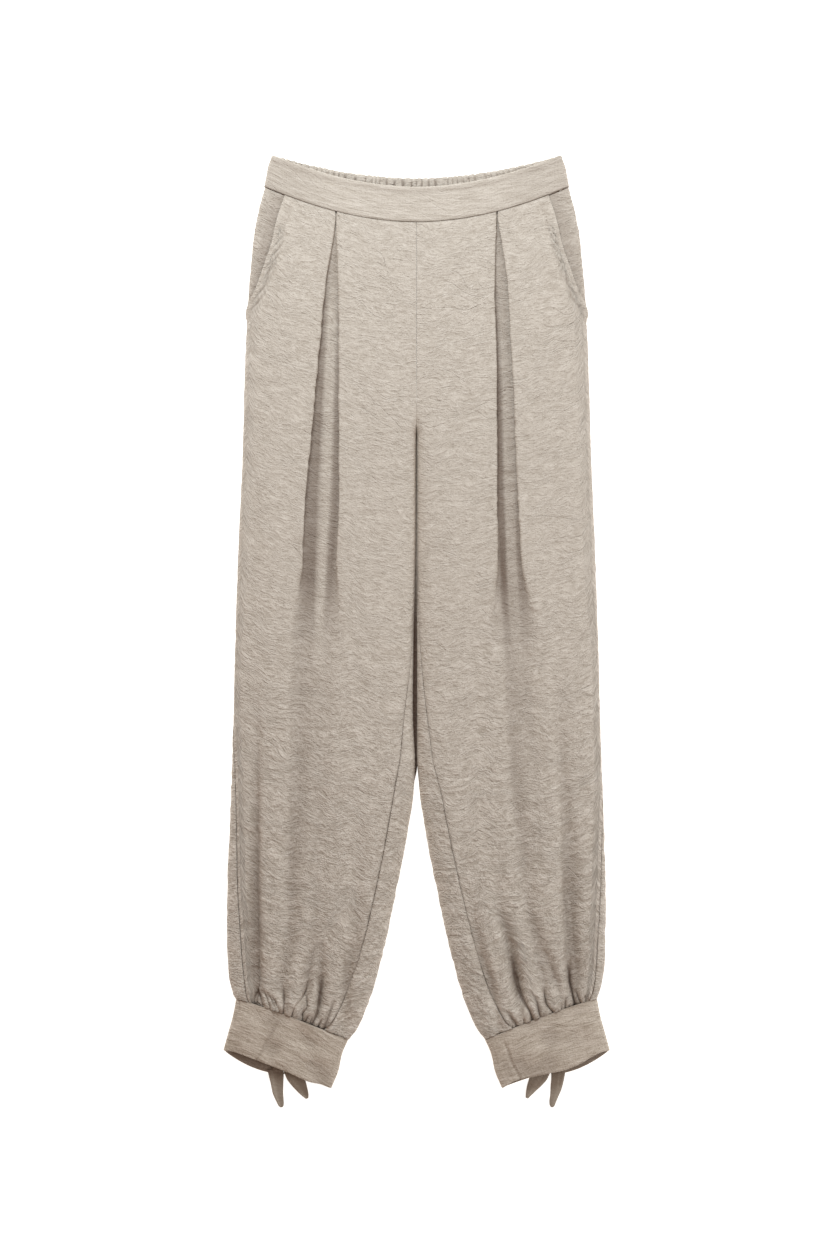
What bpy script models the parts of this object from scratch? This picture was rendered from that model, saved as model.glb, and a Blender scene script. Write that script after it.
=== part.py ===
"""Wide trousers with gathered cuffs, laid flat on a surface, front up.

Metres, +Z up. +Y runs toward the waist and +X to the viewer's right. The origin is
under the middle of the garment, on the surface it lies on. Every sewn piece is a wall
of cloth carried through sections across the garment. The tables hold millimetres:
"down" is measured from the waistband's top corners toward the cuffs and "out" from
the centre line toward the side seam.
"""

import math
from collections import namedtuple

import bmesh
import bpy
import numpy as np

NAME = "gathered_cuff_trousers"
MM = 0.001

LENGTH = 1097.0          # waistband corner to the tip of the longest tie
TOP = LENGTH / 2         # place of the waistband's corners along Y
WALL = 1.3               # thickness of the cloth wall
SEAM = 0.15              # each piece stops this far short of the seam line
EDGE_RADIUS = 4.2        # roundness of the folded side edges
RIBS = 42                # gathers held by the elastic across the back waistband
RIB_HEIGHT = 1.5
GATHERS = 14             # gathers of each front panel into its cuff
GATHER_HEIGHT = 2.6
GATHER_REACH = 87.0      # how far the gathers run up the leg
# Their unevenness, as waves across the panel: height in gathers, pace and start.
GATHER_DRIFT = ((0.35, 9.4, 1.0), (0.2, 23.0, 0.0))
SAG = 1.9                # exponent of the waist edge's dip toward the centre
SLANT = 1.2              # exponent of the cuff seam's slant
SAG_ENDS = 500.0         # rows above this level sag, rows below it slant
NORMAL_STEP = 0.2        # arc over which a section's normal is measured

# Outer edge of the garment at each level.
OUTER_EDGE = ((0, 166.3), (11, 170.9), (23, 173.2), (40, 176.7), (57, 181.1), (86, 186.9),
              (121, 190.9), (167, 194.4), (236, 197.8), (339, 200.7), (454, 205.3),
              (569, 209.3), (684, 212.2), (799, 216.3), (857, 218.0), (914, 217.4),
              (945, 215.0), (960, 212.0), (971, 207.7))
# Inner edge of a leg, from the crotch down; above it the panels meet at the centre.
INNER_EDGE = ((321, 0.2), (690, 0.2), (720, 2.4), (742, 5.2), (799, 14.4), (857, 25.9),
              (914, 38.5), (949, 47.7), (972, 54.6), (983, 58.6), (1006, 69.5), (1018, 78.4))
# The left leg stands a little off the right one below the crotch.
LEFT_SLIT = ((321, 0.0), (430, 1.0), (530, 3.6), (640, 3.8), (700, 1.0), (730, 0.0))
# How far the crown of a leg stands above its folded edges.
CROWN = ((0, 3.0), (60, 5.0), (150, 8.0), (321, 10.0), (600, 11.0), (850, 10.5),
         (960, 8.0), (1020, 4.0))
CROWN_OUTER = 26.0       # the crown rises over this width from a side edge
CROWN_INNER = 22.0       # and over this one from a closed inner edge
FOLD_OUTER = 12.0        # folds fade out over this width at a side edge
FOLD_INNER = 10.0        # and over this one at an inner edge
EDGE_FADE = 3.0          # the rounded inner edge turns into the crown over this width
# The pocket mouth, measured in from the side edge.
POCKET = ((36, 26.0), (62, 24.5), (92, 23.5), (116, 19.0), (146, 12.0), (167, 4.5), (186, 0.0))
POCKET_END = 186.0
POCKET_LIFT = 0.95       # how far the rolled mouth stands off the facing
POCKET_SPREAD = 20.0     # how far from the mouth the front is lifted
POCKET_FULL = 6.0        # a mouth this far in has its whole lift
POCKET_REACH = (5.6, 14.0)   # columns of the facing that run on under the front
FACING_GAP = 0.8
FACING_ENDS = 3.0        # the facing has rows only where the mouth is further in
FACING_SINK = 0.8        # share of the mouth's way in over which the facing sinks

# Where the side seam and the inseam show on the front, measured in from the edge.
SIDE_SEAM_SHOWS = {"left": ((640, 0.0), (712, 6.0), (821, 12.5), (950, 18.5), (971, 16.0)),
                   "right": ((720, 0.0), (752, 2.5), (870, 9.5), (920, 11.5), (971, 11.5))}
INSEAM_SHOWS = {"left": ((480, 0.0), (567, 4.0), (657, 14.0), (740, 24.0), (900, 26.0), (1018, 30.0)),
                "right": ((480, 0.0), (593, 8.0), (693, 20.0), (740, 26.5), (914, 31.0), (1018, 34.0))}

# The inverted box pleat: its two fold edges, the overlap of its layers and their spacing.
PleatRow = namedtuple("PleatRow", "down outer_fold inner_fold overlap spacing")
PLEAT = {
    "left": (PleatRow(66, 93.8, 91.6, 9.6, 2.1), PleatRow(155, 107.9, 88.9, 6.0, 2.3),
             PleatRow(213, 110.5, 88.7, 5.2, 2.6), PleatRow(254, 115.7, 88.6, 4.2, 2.8),
             PleatRow(330, 121.5, 88.6, 3.2, 3.0), PleatRow(397, 127.7, 88.9, 2.4, 3.0),
             PleatRow(520, 131.0, 92.0, 2.4, 3.0)),
    "right": (PleatRow(66, 93.6, 91.4, 9.6, 2.1), PleatRow(155, 105.9, 88.9, 6.4, 2.3),
              PleatRow(213, 108.5, 90.6, 6.0, 2.6), PleatRow(254, 111.5, 91.0, 5.4, 2.8),
              PleatRow(330, 114.5, 91.2, 4.4, 3.0), PleatRow(397, 117.5, 91.2, 3.2, 3.0),
              PleatRow(520, 124.0, 93.5, 2.4, 3.0)),
}
PLEAT_SHARP = 325.0      # above this level the pleat is truly folded
PLEAT_STEP = 403.0       # here its fold edges have opened to upright steps
PLEAT_SOFT = 500.0       # below this one it is only a soft valley
# One fold edge, as layer spacings out from the edge and down: sharp, then opened.
SHARP_DOWN = (0.0, 0.5, 1.0, 1.0, 1.5, 2.0)
STEP_OUT = (0.5, 0.1, 0.0, 0.0, -0.1, -0.5)
STEP_DOWN = (0.0, 0.2, 0.7, 1.3, 1.8, 2.0)
UNDERLAY_RISE = 1.6      # the pleat's underlay rises this much as the pleat opens
UNDERLAY_FROM = 150.0    # level where it starts to rise, and the length it takes
VALLEY_SHARE = 0.42      # share of the leg's width that the soft valley takes

# Long folds of each leg: a valley's place, depth and its width on either side.
Fold = namedtuple("Fold", "down out depth outer_width inner_width")
FOLDS = {
    "left": (
        (Fold(430, 129, 0, 14, 14), Fold(500, 128, 4.8, 9, 15), Fold(560, 132, 4.2, 10, 16),
         Fold(640, 134, 3.4, 11, 16), Fold(730, 136, 3.0, 11, 15), Fold(810, 144, 3.6, 10, 15),
         Fold(900, 146, 3.0, 9, 12), Fold(950, 155, 3.0, 8, 8), Fold(990, 158, 0, 8, 8)),
        (Fold(430, 91, 0, 8, 9), Fold(500, 99, 3.0, 9, 8), Fold(600, 104, 2.0, 10, 9),
         Fold(700, 109, 1.5, 10, 10), Fold(820, 114, 1.4, 9, 9), Fold(900, 118, 2.0, 8, 8),
         Fold(945, 126, 4.2, 7, 7), Fold(980, 130, 2.5, 6, 6), Fold(1006, 132, 1.0, 6, 6)),
        (Fold(560, 186, 0, 9, 7), Fold(680, 185, 1.6, 9, 6), Fold(765, 186, 3.8, 9, 5),
         Fold(840, 186, 5.5, 11, 8), Fold(900, 184, 7.0, 11, 8), Fold(945, 184, 7.0, 10, 8),
         Fold(968, 184, 4.0, 9, 8), Fold(985, 184, 2.0, 9, 8)),
        (Fold(740, 60, 0, 10, 10), Fold(820, 67, 1.6, 9, 9), Fold(890, 70, 2.2, 8, 8),
         Fold(945, 80, 4.0, 7, 7), Fold(990, 84, 3.0, 6, 6), Fold(1018, 86, 1.0, 6, 6)),
        (Fold(900, 108, 0, 6, 6), Fold(945, 110, 3.8, 6, 6), Fold(985, 112, 2.6, 6, 6),
         Fold(1008, 114, 1.0, 6, 6)),
        (Fold(200, 66, 0, 16, 16), Fold(300, 67, 1.0, 16, 16), Fold(400, 57, 0.8, 16, 16),
         Fold(520, 52, 0, 16, 16)),
        (Fold(320, 190, 0, 10, 10), Fold(450, 187, 1.0, 10, 10), Fold(560, 188, 0, 10, 10)),
    ),
    "right": (
        (Fold(430, 93, 0, 10, 10), Fold(500, 100, 4.4, 14, 8), Fold(560, 104, 3.8, 15, 8),
         Fold(630, 109, 3.4, 15, 9), Fold(720, 112, 2.8, 14, 9), Fold(800, 122, 3.0, 13, 10),
         Fold(860, 128, 2.4, 12, 9), Fold(905, 135, 3.0, 10, 8), Fold(950, 146, 3.8, 8, 7),
         Fold(980, 150, 2.0, 6, 6), Fold(1000, 152, 0.5, 6, 6)),
        (Fold(440, 120, 0, 8, 9), Fold(520, 124, 2.0, 9, 9), Fold(640, 130, 1.8, 9, 9),
         Fold(720, 140, 1.2, 9, 9), Fold(820, 144, 0, 9, 9)),
        (Fold(560, 160, 0, 9, 9), Fold(640, 163, 1.3, 9, 7), Fold(760, 171, 2.6, 10, 6),
         Fold(820, 174, 4.0, 12, 8), Fold(860, 174, 6.0, 12, 8), Fold(905, 175, 7.2, 10, 5),
         Fold(945, 178, 6.5, 11, 8), Fold(968, 179, 3.5, 9, 8), Fold(985, 180, 1.5, 9, 8)),
        (Fold(780, 91, 0, 9, 9), Fold(860, 95, 2.4, 8, 8), Fold(905, 106, 5.0, 7, 7),
         Fold(950, 115, 6.2, 7, 7), Fold(985, 120, 3.0, 6, 6), Fold(1006, 122, 1.0, 6, 6)),
        (Fold(840, 60, 0, 8, 8), Fold(905, 70, 3.2, 7, 7), Fold(950, 84, 4.6, 6, 7),
         Fold(995, 93, 2.5, 6, 6), Fold(1018, 96, 1.0, 6, 6)),
        (Fold(200, 138, 0, 14, 14), Fold(300, 142, 1.1, 14, 14), Fold(430, 152, 1.0, 14, 14),
         Fold(520, 158, 0, 14, 14)),
        (Fold(840, 120, 0, 7, 7), Fold(905, 143, 1.6, 7, 7), Fold(950, 160, 3.4, 6, 6),
         Fold(972, 166, 2.0, 6, 6), Fold(990, 168, 0.5, 6, 6)),
    ),
}

# A leg's rows: level at the side edge and at the inner edge, and how closed the leg is
# on its inner side (0 above the crotch, where it is open to the other leg).
LegRow = namedtuple("LegRow", "at_side at_centre closed")
LEG_ROWS = (
    LegRow(36, 77.5, 0), LegRow(55, 92, 0), LegRow(78, 110, 0), LegRow(103, 130, 0),
    LegRow(134, 154, 0), LegRow(166, 180, 0), LegRow(187, 204, 0), LegRow(226, 234, 0),
    LegRow(262, 266, 0.08), LegRow(294, 295, 0.4), LegRow(321, 321, 1), LegRow(348, 348, 1),
    LegRow(378, 378, 1), LegRow(408, 408, 1), LegRow(440, 440, 1), LegRow(500, 500, 1),
    LegRow(565, 565, 1), LegRow(630, 630, 1), LegRow(690, 690, 1), LegRow(742, 742, 1), LegRow(790, 790, 1),
    LegRow(834, 834, 1), LegRow(872, 876, 1), LegRow(902, 916, 1),
)
GATHER_ROWS = (LegRow(926, 950, 1), LegRow(945, 978, 1), LegRow(959, 999, 1), LegRow(971, 1017.5, 1))
FRONT_WAIST_DIP = 77.5   # the waist seam at the centre
BACK_WAIST_DIP = 66.5    # the back's lies higher
BACK_ROWS_LIFTED = 6     # rows over which the back comes level with the front
CUFF_SEAM_INNER = 1017.5     # the cuff seam at the inner edge
BAND_SIDE = 36.0         # height of the waistband at the side seams
BACK_BAND_DIP = 26.5
FRONT_BAND_DIP = 37.0

# Columns across the pieces, by the stretch that they belong to.
OUTER_COLUMNS = 8
UNDERLAY_COLUMNS = 3
INNER_COLUMNS = 7
FADE_COLUMNS = 5         # columns over which the gathers fade out at a seam
BACK_COLUMNS = 6
BACK_EDGE_COLUMNS = 4
FACING_COLUMNS = 6
BAND_COLUMNS = 11
RIB_COLUMNS = 4
EDGE_CLUSTER = 2.3       # how strongly columns crowd toward a rounded edge
NEAR_EDGE = 6.0          # a stretch that starts this near an edge is fully crowded
FROM_EDGE = 12.0         # width over which the crowding fades
EDGE_SEAM = 2.5          # a seam's gap is this many times wider round an edge

# Rows of a cuff: level and place of its outer and inner ends.
CuffRow = namedtuple("CuffRow", "at_side side_out at_inside inside_out")
CUFF_ROWS = (CuffRow(971, 207.7, 1017.5, 78.4), CuffRow(990, 211.5, 1034, 85.5),
             CuffRow(1010, 217.0, 1054, 90.0), CuffRow(1030, 222.7, 1073.5, 98.0))
CUFF_CROWN = 4.5
CUFF_CROWN_WIDTH = 20.0
CUFF_EDGE = 9            # columns round each of its edges
CUFF_UNDER = 5           # columns on either side of the slit
CUFF_OVER = 11           # columns across its front
BACK_HEM_DROP = 10.0     # the back hem shows below the front one on the outer half
BACK_HEM_WIDTH = 0.62    # share of the cuff's width over which it shows
SLIT_AT = 0.5            # place of the back slit along the cuff
SLIT_TOP = 3.0
SLIT_HEM = 14.0

# Ties: the run of each free end, its half width and the height of its middle.
TieRow = namedtuple("TieRow", "down out half_width height")
TIES = {
    "tie_left_long": (-1, (TieRow(1057.0, 161.4, 4.0, 2.6), TieRow(1062, 163.6, 6.6, 2.5),
                           TieRow(1073, 162.5, 7.2, 0.85), TieRow(1086, 159.5, 5.6, 0.85),
                           TieRow(1094, 157.0, 3.2, 0.85), TieRow(1096.6, 156.0, 1.2, 0.85))),
    "tie_left_short": (-1, (TieRow(1057.0, 152.6, 4.0, 2.6), TieRow(1062, 148.4, 6.0, 2.5),
                            TieRow(1070, 139.5, 7.4, 0.85), TieRow(1078, 132.0, 6.0, 0.85),
                            TieRow(1084, 128.0, 3.0, 0.85), TieRow(1087, 126.8, 1.2, 0.85))),
    "tie_right_long": (1, (TieRow(1057.0, 161.4, 4.0, 2.6), TieRow(1062, 163.0, 6.4, 2.5),
                           TieRow(1075, 161.5, 6.2, 0.85), TieRow(1086, 159.0, 4.4, 0.85),
                           TieRow(1093, 157.2, 2.6, 0.85), TieRow(1096, 156.6, 1.2, 0.85))),
    "tie_right_short": (1, (TieRow(1057.0, 152.6, 4.0, 2.6), TieRow(1062, 148.2, 6.0, 2.5),
                            TieRow(1069, 140.0, 7.4, 0.85), TieRow(1077, 132.0, 6.0, 0.85),
                            TieRow(1083, 128.4, 2.8, 0.85), TieRow(1086, 127.2, 1.2, 0.85))),
}
TIE_THICK = 1.7
KNOT_AT = (1051.0, 158.5)
KNOT_SIZE = (16.0, 11.0, 6.4)
KNOT_LIFT = 0.2          # it clears the surface by this much
TIE_COLUMNS = 4

# Linear colours: cloth of the fronts, and a darker one for the other pieces.
CLOTH = (0.60, 0.53, 0.45)
SHADE = (0.50, 0.43, 0.36)
ROUGHNESS = 0.85


def smooth_curve(points, at):
    """Monotone cubic through (place, value) points, held flat past its ends."""
    x = np.array([point[0] for point in points], float)
    y = np.array([point[1] for point in points], float)
    step = np.diff(x)
    rise = np.diff(y) / step
    slope = np.zeros_like(y)
    same_way = rise[:-1] * rise[1:] > 0
    mean = 2 * rise[:-1] * rise[1:] / np.where(same_way, rise[:-1] + rise[1:], 1)
    slope[1:-1] = np.where(same_way, mean, 0)
    slope[0], slope[-1] = rise[0], rise[-1]
    at = np.clip(np.asarray(at, float), x[0], x[-1])
    cell = np.clip(np.searchsorted(x, at, side="right") - 1, 0, len(step) - 1)
    q = (at - x[cell]) / step[cell]
    return ((1 + 2 * q) * (1 - q) ** 2 * y[cell] + q * (1 - q) ** 2 * step[cell] * slope[cell]
            + q * q * (3 - 2 * q) * y[cell + 1] + q * q * (q - 1) * step[cell] * slope[cell + 1])


def column(rows, place, value):
    """Two named columns of a table, as the points of a curve."""
    return [(getattr(row, place), getattr(row, value)) for row in rows]


def ease(q):
    """Smooth step from 0 to 1."""
    q = np.clip(q, 0, 1)
    return q * q * (3 - 2 * q)


def swell(side, down, out, outer_edge, inner_edge, closed):
    """Height of the upper cloth above its folded edges: the crown less its folds."""
    to_side = np.maximum(outer_edge - out, 0)
    to_inner = np.maximum(out - inner_edge, 0)
    crown = smooth_curve(CROWN, down) * (1 - np.exp(-to_side / CROWN_OUTER))
    crown *= 1 - closed * np.exp(-to_inner / CROWN_INNER)
    fall = np.zeros_like(crown)
    for fold in FOLDS[side]:
        inside = (down > fold[0].down) & (down < fold[-1].down)
        depth = smooth_curve(column(fold, "down", "depth"), down) * inside
        offset = out - smooth_curve(column(fold, "down", "out"), down)
        width = np.where(offset > 0, smooth_curve(column(fold, "down", "outer_width"), down),
                         smooth_curve(column(fold, "down", "inner_width"), down))
        fall += depth * np.exp(-(offset / width) ** 2)
    fall *= ease(to_side / FOLD_OUTER) * (1 - closed * (1 - ease(to_inner / FOLD_INNER)))
    return crown - np.minimum(fall, crown + EDGE_RADIUS * 0.5)


def edge_path(arc, closed):
    """Way in from an edge and height about its middle, for an arc from that middle."""
    length = np.abs(arc)
    turn = np.clip(length / EDGE_RADIUS, 0, math.pi / 2)
    past = np.maximum(length - EDGE_RADIUS * math.pi / 2, 0)
    inward = EDGE_RADIUS * (1 - np.cos(turn)) + past
    height = EDGE_RADIUS * np.sin(turn)
    inward = length + (inward - length) * closed
    height = EDGE_RADIUS + (height - EDGE_RADIUS) * closed
    return inward, np.where(arc < 0, -height, height)


def arc_at(inward, closed=1.0):
    """The arc that lies this far in from an edge, past its rounding."""
    return inward + EDGE_RADIUS * (math.pi / 2 - 1) * closed


class Section:
    """One row across a leg: its edges, its level and the height of its cloth."""

    def __init__(self, side, row, dip=None):
        self.side = side
        self.at_side = row.at_side
        self.at_centre = row.at_centre if dip is None else dip
        self.closed = float(row.closed)
        slit = smooth_curve(LEFT_SLIT, self.at_centre) if side == "left" else 0.0
        slack = SEAM + min(1.0, 3 * self.closed) * WALL / 2
        self.outer = float(smooth_curve(OUTER_EDGE, self.at_side)) - WALL / 2
        inner = float(smooth_curve(INNER_EDGE, self.at_centre)) + slit + WALL / 2
        self.inner = slack if self.closed < 1 else max(inner, slack)
        self.middle = 0.5 * (self.at_side + self.at_centre)

    def level(self, out):
        """Level of the row at a place across it."""
        share = np.clip((self.outer - out) / (self.outer - self.inner), 0, 1)
        bend = 1 - (1 - share) ** SAG if self.middle < SAG_ENDS else share ** SLANT
        return self.at_side + (self.at_centre - self.at_side) * bend

    def height(self, out, about_edge):
        """Height of the upper cloth's middle at a place across the row."""
        down = self.level(out)
        lift = swell(self.side, down, out, self.outer, self.inner, self.closed)
        return WALL / 2 + EDGE_RADIUS + about_edge + lift

    def from_side(self, arc):
        """Points (out, height) at these arcs from the side edge's middle."""
        inward, about_edge = edge_path(arc, 1.0)
        out = self.outer - inward
        top = self.height(out, about_edge)
        return out, np.where(np.asarray(arc) > 0, top, WALL / 2 + EDGE_RADIUS + about_edge)

    def from_inner(self, arc):
        """Points (out, height) at these arcs from the inner edge's middle."""
        inward, about_edge = edge_path(arc, self.closed)
        out = self.inner + inward
        top = self.height(out, about_edge)
        fade = self.closed * np.exp(-np.maximum(inward, 0) / EDGE_FADE)
        top -= fade * swell(self.side, self.level(out), out, self.outer, self.inner, self.closed)
        return out, np.where(np.asarray(arc) >= 0, top, WALL / 2 + EDGE_RADIUS + about_edge)


def ends_from(curve, arcs, out_normal, up_normal, where, way):
    """Puts the normals of a section's own curve on some of its columns."""
    lowest, highest = np.min(arcs), np.max(arcs)
    near = curve(np.clip(arcs - way * NORMAL_STEP, lowest, highest))
    far = curve(np.clip(arcs + way * NORMAL_STEP, lowest, highest))
    along_out = far[0] - near[0]
    along_up = far[1] - near[1]
    length = np.hypot(along_out, along_up)
    out_normal[where] = along_up / length
    up_normal[where] = -along_out / length


def crowd(count, start, stop, edge_start, edge_stop):
    """Positions from start to stop, crowded toward an end that is a rounded edge."""
    q = np.linspace(0, 1, count + 1)
    near_start = q ** EDGE_CLUSTER
    near_stop = 1 - (1 - q) ** EDGE_CLUSTER
    mixed = q + edge_start * (near_start - q) + edge_stop * (near_stop - q)
    return start + (stop - start) * mixed


def pocket_depth(down):
    """How far in from the side edge the pocket mouth lies at a level."""
    return smooth_curve(POCKET, down) * (down < POCKET_END)


def front_start(section):
    """Arc where the front panel begins: the pocket mouth or the side seam."""
    mouth = float(pocket_depth(section.at_side))
    if mouth > 0:
        return mouth
    shows = float(smooth_curve(SIDE_SEAM_SHOWS[section.side], section.at_side))
    return shows + seam_room(shows)


def seam_room(shows):
    """Half the gap at a seam, wider where the seam climbs round an edge."""
    return SEAM * (EDGE_SEAM if 0 < shows < EDGE_SEAM * EDGE_RADIUS else 1.0)


def inseam_arc(section):
    """Arc of the inseam from the inner edge's middle."""
    return float(smooth_curve(INSEAM_SHOWS[section.side], section.at_centre)) * (section.closed == 1)


def front_row(section):
    """The middle of the front panel's wall along one row, as (out, height) columns."""
    rows = PLEAT[section.side]
    level = section.middle
    outer_fold = float(smooth_curve(column(rows, "down", "outer_fold"), level))
    inner_fold = float(smooth_curve(column(rows, "down", "inner_fold"), level))
    overlap = float(smooth_curve(column(rows, "down", "overlap"), level))
    gap = float(smooth_curve(column(rows, "down", "spacing"), level))
    opened = float(ease((level - PLEAT_SHARP) / (PLEAT_STEP - PLEAT_SHARP)))
    soft = float(ease((level - PLEAT_STEP) / (PLEAT_SOFT - PLEAT_STEP)))

    start = front_start(section)
    stop = inseam_arc(section)
    deep_pocket = float(pocket_depth(section.at_side)) > FROM_EDGE
    on_edge = 0.0 if deep_pocket else 1.0 - float(ease((start - NEAR_EDGE) / FROM_EDGE))
    at_inner_edge = section.closed * (1.0 - float(ease((stop - NEAR_EDGE) / FROM_EDGE)))
    spread = section.outer - section.inner

    # Sharp form: the wall folds back under itself at both fold edges. Lower down each
    # edge opens to an upright step.
    turn_out = np.array([gap / 2, 0, gap / 2, overlap, overlap + gap / 2, overlap])
    turn_down = np.array(SHARP_DOWN) * gap
    turn_out += opened * (np.array(STEP_OUT) * gap - turn_out)
    turn_down += opened * (np.array(STEP_DOWN) * gap - turn_down)
    outer_turn = outer_fold + turn_out
    inner_turn = (inner_fold - turn_out)[::-1]
    q = np.linspace(0, 1, UNDERLAY_COLUMNS + 1)[1:-1]
    underlay = outer_turn[-1] + (inner_turn[0] - outer_turn[-1]) * q
    folded = np.concatenate([outer_turn, underlay, inner_turn])
    rise = UNDERLAY_RISE * float(ease((level - UNDERLAY_FROM) / UNDERLAY_FROM))
    drop = np.concatenate([turn_down, np.full(len(q), 2 * gap - rise), turn_down[::-1]])

    # Soft form: the same columns spread over the valley.
    middle = 0.5 * (outer_fold + inner_fold)
    reach = middle + np.linspace(0.5, -0.5, len(folded)) * spread * VALLEY_SHARE
    folded_out = folded * (1 - soft) + reach * soft
    drop = drop * (1 - soft)

    outer_arc = arc_at(section.outer - folded_out[0])
    inner_arc = arc_at(folded_out[-1] - section.inner, section.closed)
    outer_arcs = crowd(OUTER_COLUMNS, start, outer_arc, on_edge, 0)[:-1]
    stop += seam_room(stop) * (section.closed > 0)
    inner_arcs = crowd(INNER_COLUMNS, inner_arc, stop, 0, at_inner_edge)[1:]
    side_out, side_height = section.from_side(outer_arcs)
    inner_out, inner_height = section.from_inner(inner_arcs)
    top = section.height(folded_out, EDGE_RADIUS)
    out = np.concatenate([side_out, folded_out, inner_out])
    height = np.concatenate([side_height, top - drop, inner_height])
    normals = outward(out, height)
    ends_from(section.from_side, outer_arcs, *normals, slice(0, len(outer_arcs)), 1)
    ends_from(section.from_inner, inner_arcs, *normals, slice(-len(inner_arcs), None), -1)
    lift = pocket_lift(section, out)
    return out + normals[0] * lift, height + normals[1] * lift, normals


def pocket_lift(section, out):
    """How far the front stands off the facing near the pocket mouth."""
    mouth = float(pocket_depth(section.at_side))
    inward = section.outer - out
    near = np.exp(-((inward - mouth) / POCKET_SPREAD) ** 2)
    return POCKET_LIFT * ease(mouth / POCKET_FULL) * near


def gathered_row(section, columns):
    """A row near the cuff, its cloth drawn into gathers, as (out, height) columns."""
    start = front_start(section)
    stop = inseam_arc(section) + SEAM
    total = arc_at(section.outer - section.inner) + EDGE_RADIUS * (math.pi / 2 - 1)
    arcs = np.linspace(start, total - stop, columns + 1)
    out, height = section.from_side(arcs)
    share = np.linspace(0, 1, columns + 1)
    to_cuff = np.clip(1 - (CUFF_SEAM_INNER - section.at_centre) / GATHER_REACH, 0, 1)
    drift = sum(size * np.sin(share * pace + start_at) for size, pace, start_at in GATHER_DRIFT)
    wave = 0.5 + 0.5 * np.cos(2 * math.pi * (share * GATHERS + drift))
    fade = ease(share * columns / FADE_COLUMNS) * ease((1 - share) * columns / FADE_COLUMNS)
    height = height + GATHER_HEIGHT * ease(to_cuff) * (wave - 0.6) * fade
    normals = outward(out, height)
    ends_from(section.from_side, arcs[[0, -1]], *normals, [0, -1], 1)
    return out, height, normals


def back_row(section):
    """The middle of the back panel's wall along one row, from the inseam round below."""
    start = inseam_arc(section)
    seam_below = start - seam_room(start)
    flat_arc = -EDGE_RADIUS * math.pi / 2
    seam_below = seam_below if section.closed > 0 else -1e-4
    inner_arcs = np.linspace(seam_below, flat_arc, BACK_EDGE_COLUMNS + 1)
    pocket = float(pocket_depth(section.at_side)) > 0
    shows = float(smooth_curve(SIDE_SEAM_SHOWS[section.side], section.at_side))
    side_end = -SEAM if pocket else shows - seam_room(shows)
    side_arcs = np.linspace(flat_arc, side_end, BACK_EDGE_COLUMNS + 1)
    inner_out, inner_height = section.from_inner(inner_arcs)
    side_out, side_height = section.from_side(side_arcs)
    below = np.linspace(inner_out[-1], side_out[0], BACK_COLUMNS + 1)[1:-1]
    out = np.concatenate([inner_out, below, side_out])
    height = np.concatenate([inner_height, np.full(len(below), WALL / 2), side_height])
    normals = outward(out, height)
    ends_from(section.from_inner, inner_arcs, *normals, slice(0, len(inner_arcs)), -1)
    ends_from(section.from_side, side_arcs, *normals, slice(-len(side_arcs), None), 1)
    return out, height, normals


def place(sign, out, down, height):
    """Points in metres from places across, levels down and heights."""
    return np.stack([sign * out, TOP - down, height], axis=1) * MM


def outward(out, height):
    """Unit normals of a section that runs over the top toward the centre."""
    along = np.stack([np.gradient(out), np.gradient(height)], axis=1)
    along /= np.maximum(np.linalg.norm(along, axis=1, keepdims=True), 1e-9)
    return along[:, 1], -along[:, 0]


def row_walls(sign, out, down, height, normals=None, inside=WALL / 2):
    """Both faces of a wall along one row."""
    normal_out, normal_up = outward(out, height) if normals is None else normals
    outer = place(sign, out + normal_out * WALL / 2, down, height + normal_up * WALL / 2)
    inner = place(sign, out - normal_out * inside, down, height - normal_up * inside)
    return outer, inner


def stitch(first, second):
    """Faces between two rows of points, where the second may have twice the cells."""
    faces = []
    if len(first) == len(second):
        for i in range(len(first) - 1):
            faces.append((first[i], first[i + 1], second[i + 1]))
            faces.append((first[i], second[i + 1], second[i]))
        return faces
    for i in range(len(first) - 1):
        faces.append((first[i], second[2 * i + 1], second[2 * i]))
        faces.append((first[i], first[i + 1], second[2 * i + 1]))
        faces.append((first[i + 1], second[2 * i + 2], second[2 * i + 1]))
    return faces


def material(name, colour):
    """A plain cloth material."""
    made = bpy.data.materials.new(name)
    made.use_nodes = True
    shader = made.node_tree.nodes["Principled BSDF"]
    shader.inputs["Base Color"].default_value = (*colour, 1)
    shader.inputs["Roughness"].default_value = ROUGHNESS
    return made


def add_mesh(name, points, faces, colour):
    """A closed mesh object with its faces pointing out."""
    mesh = bpy.data.meshes.new(name)
    mesh.from_pydata([tuple(point) for point in points], [], faces)
    shaped = bmesh.new()
    shaped.from_mesh(mesh)
    bmesh.ops.recalc_face_normals(shaped, faces=shaped.faces)
    shaped.to_mesh(mesh)
    shaped.free()
    mesh.materials.append(material(name + "_cloth", colour))
    thing = bpy.data.objects.new(name, mesh)
    parts.objects.link(thing)
    return thing


def cloth_wall(name, rows, colour=CLOTH):
    """A piece of cloth from its rows, each a pair of outer and inner points."""
    points = []
    outer_rows, inner_rows = [], []
    for outer, inner in rows:
        outer_rows.append(list(range(len(points), len(points) + len(outer))))
        points.extend(outer)
        inner_rows.append(list(range(len(points), len(points) + len(inner))))
        points.extend(inner)
    faces = []
    for i in range(len(rows) - 1):
        faces += stitch(outer_rows[i], outer_rows[i + 1])
        faces += [face[::-1] for face in stitch(inner_rows[i], inner_rows[i + 1])]
        for end in (0, -1):
            rim = (outer_rows[i][end], outer_rows[i + 1][end],
                   inner_rows[i + 1][end], inner_rows[i][end])
            faces.append(rim if end == -1 else rim[::-1])
    faces += [face[::-1] for face in stitch(outer_rows[0], inner_rows[0])]
    faces += stitch(outer_rows[-1], inner_rows[-1])
    return add_mesh(name, points, faces, colour)


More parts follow.
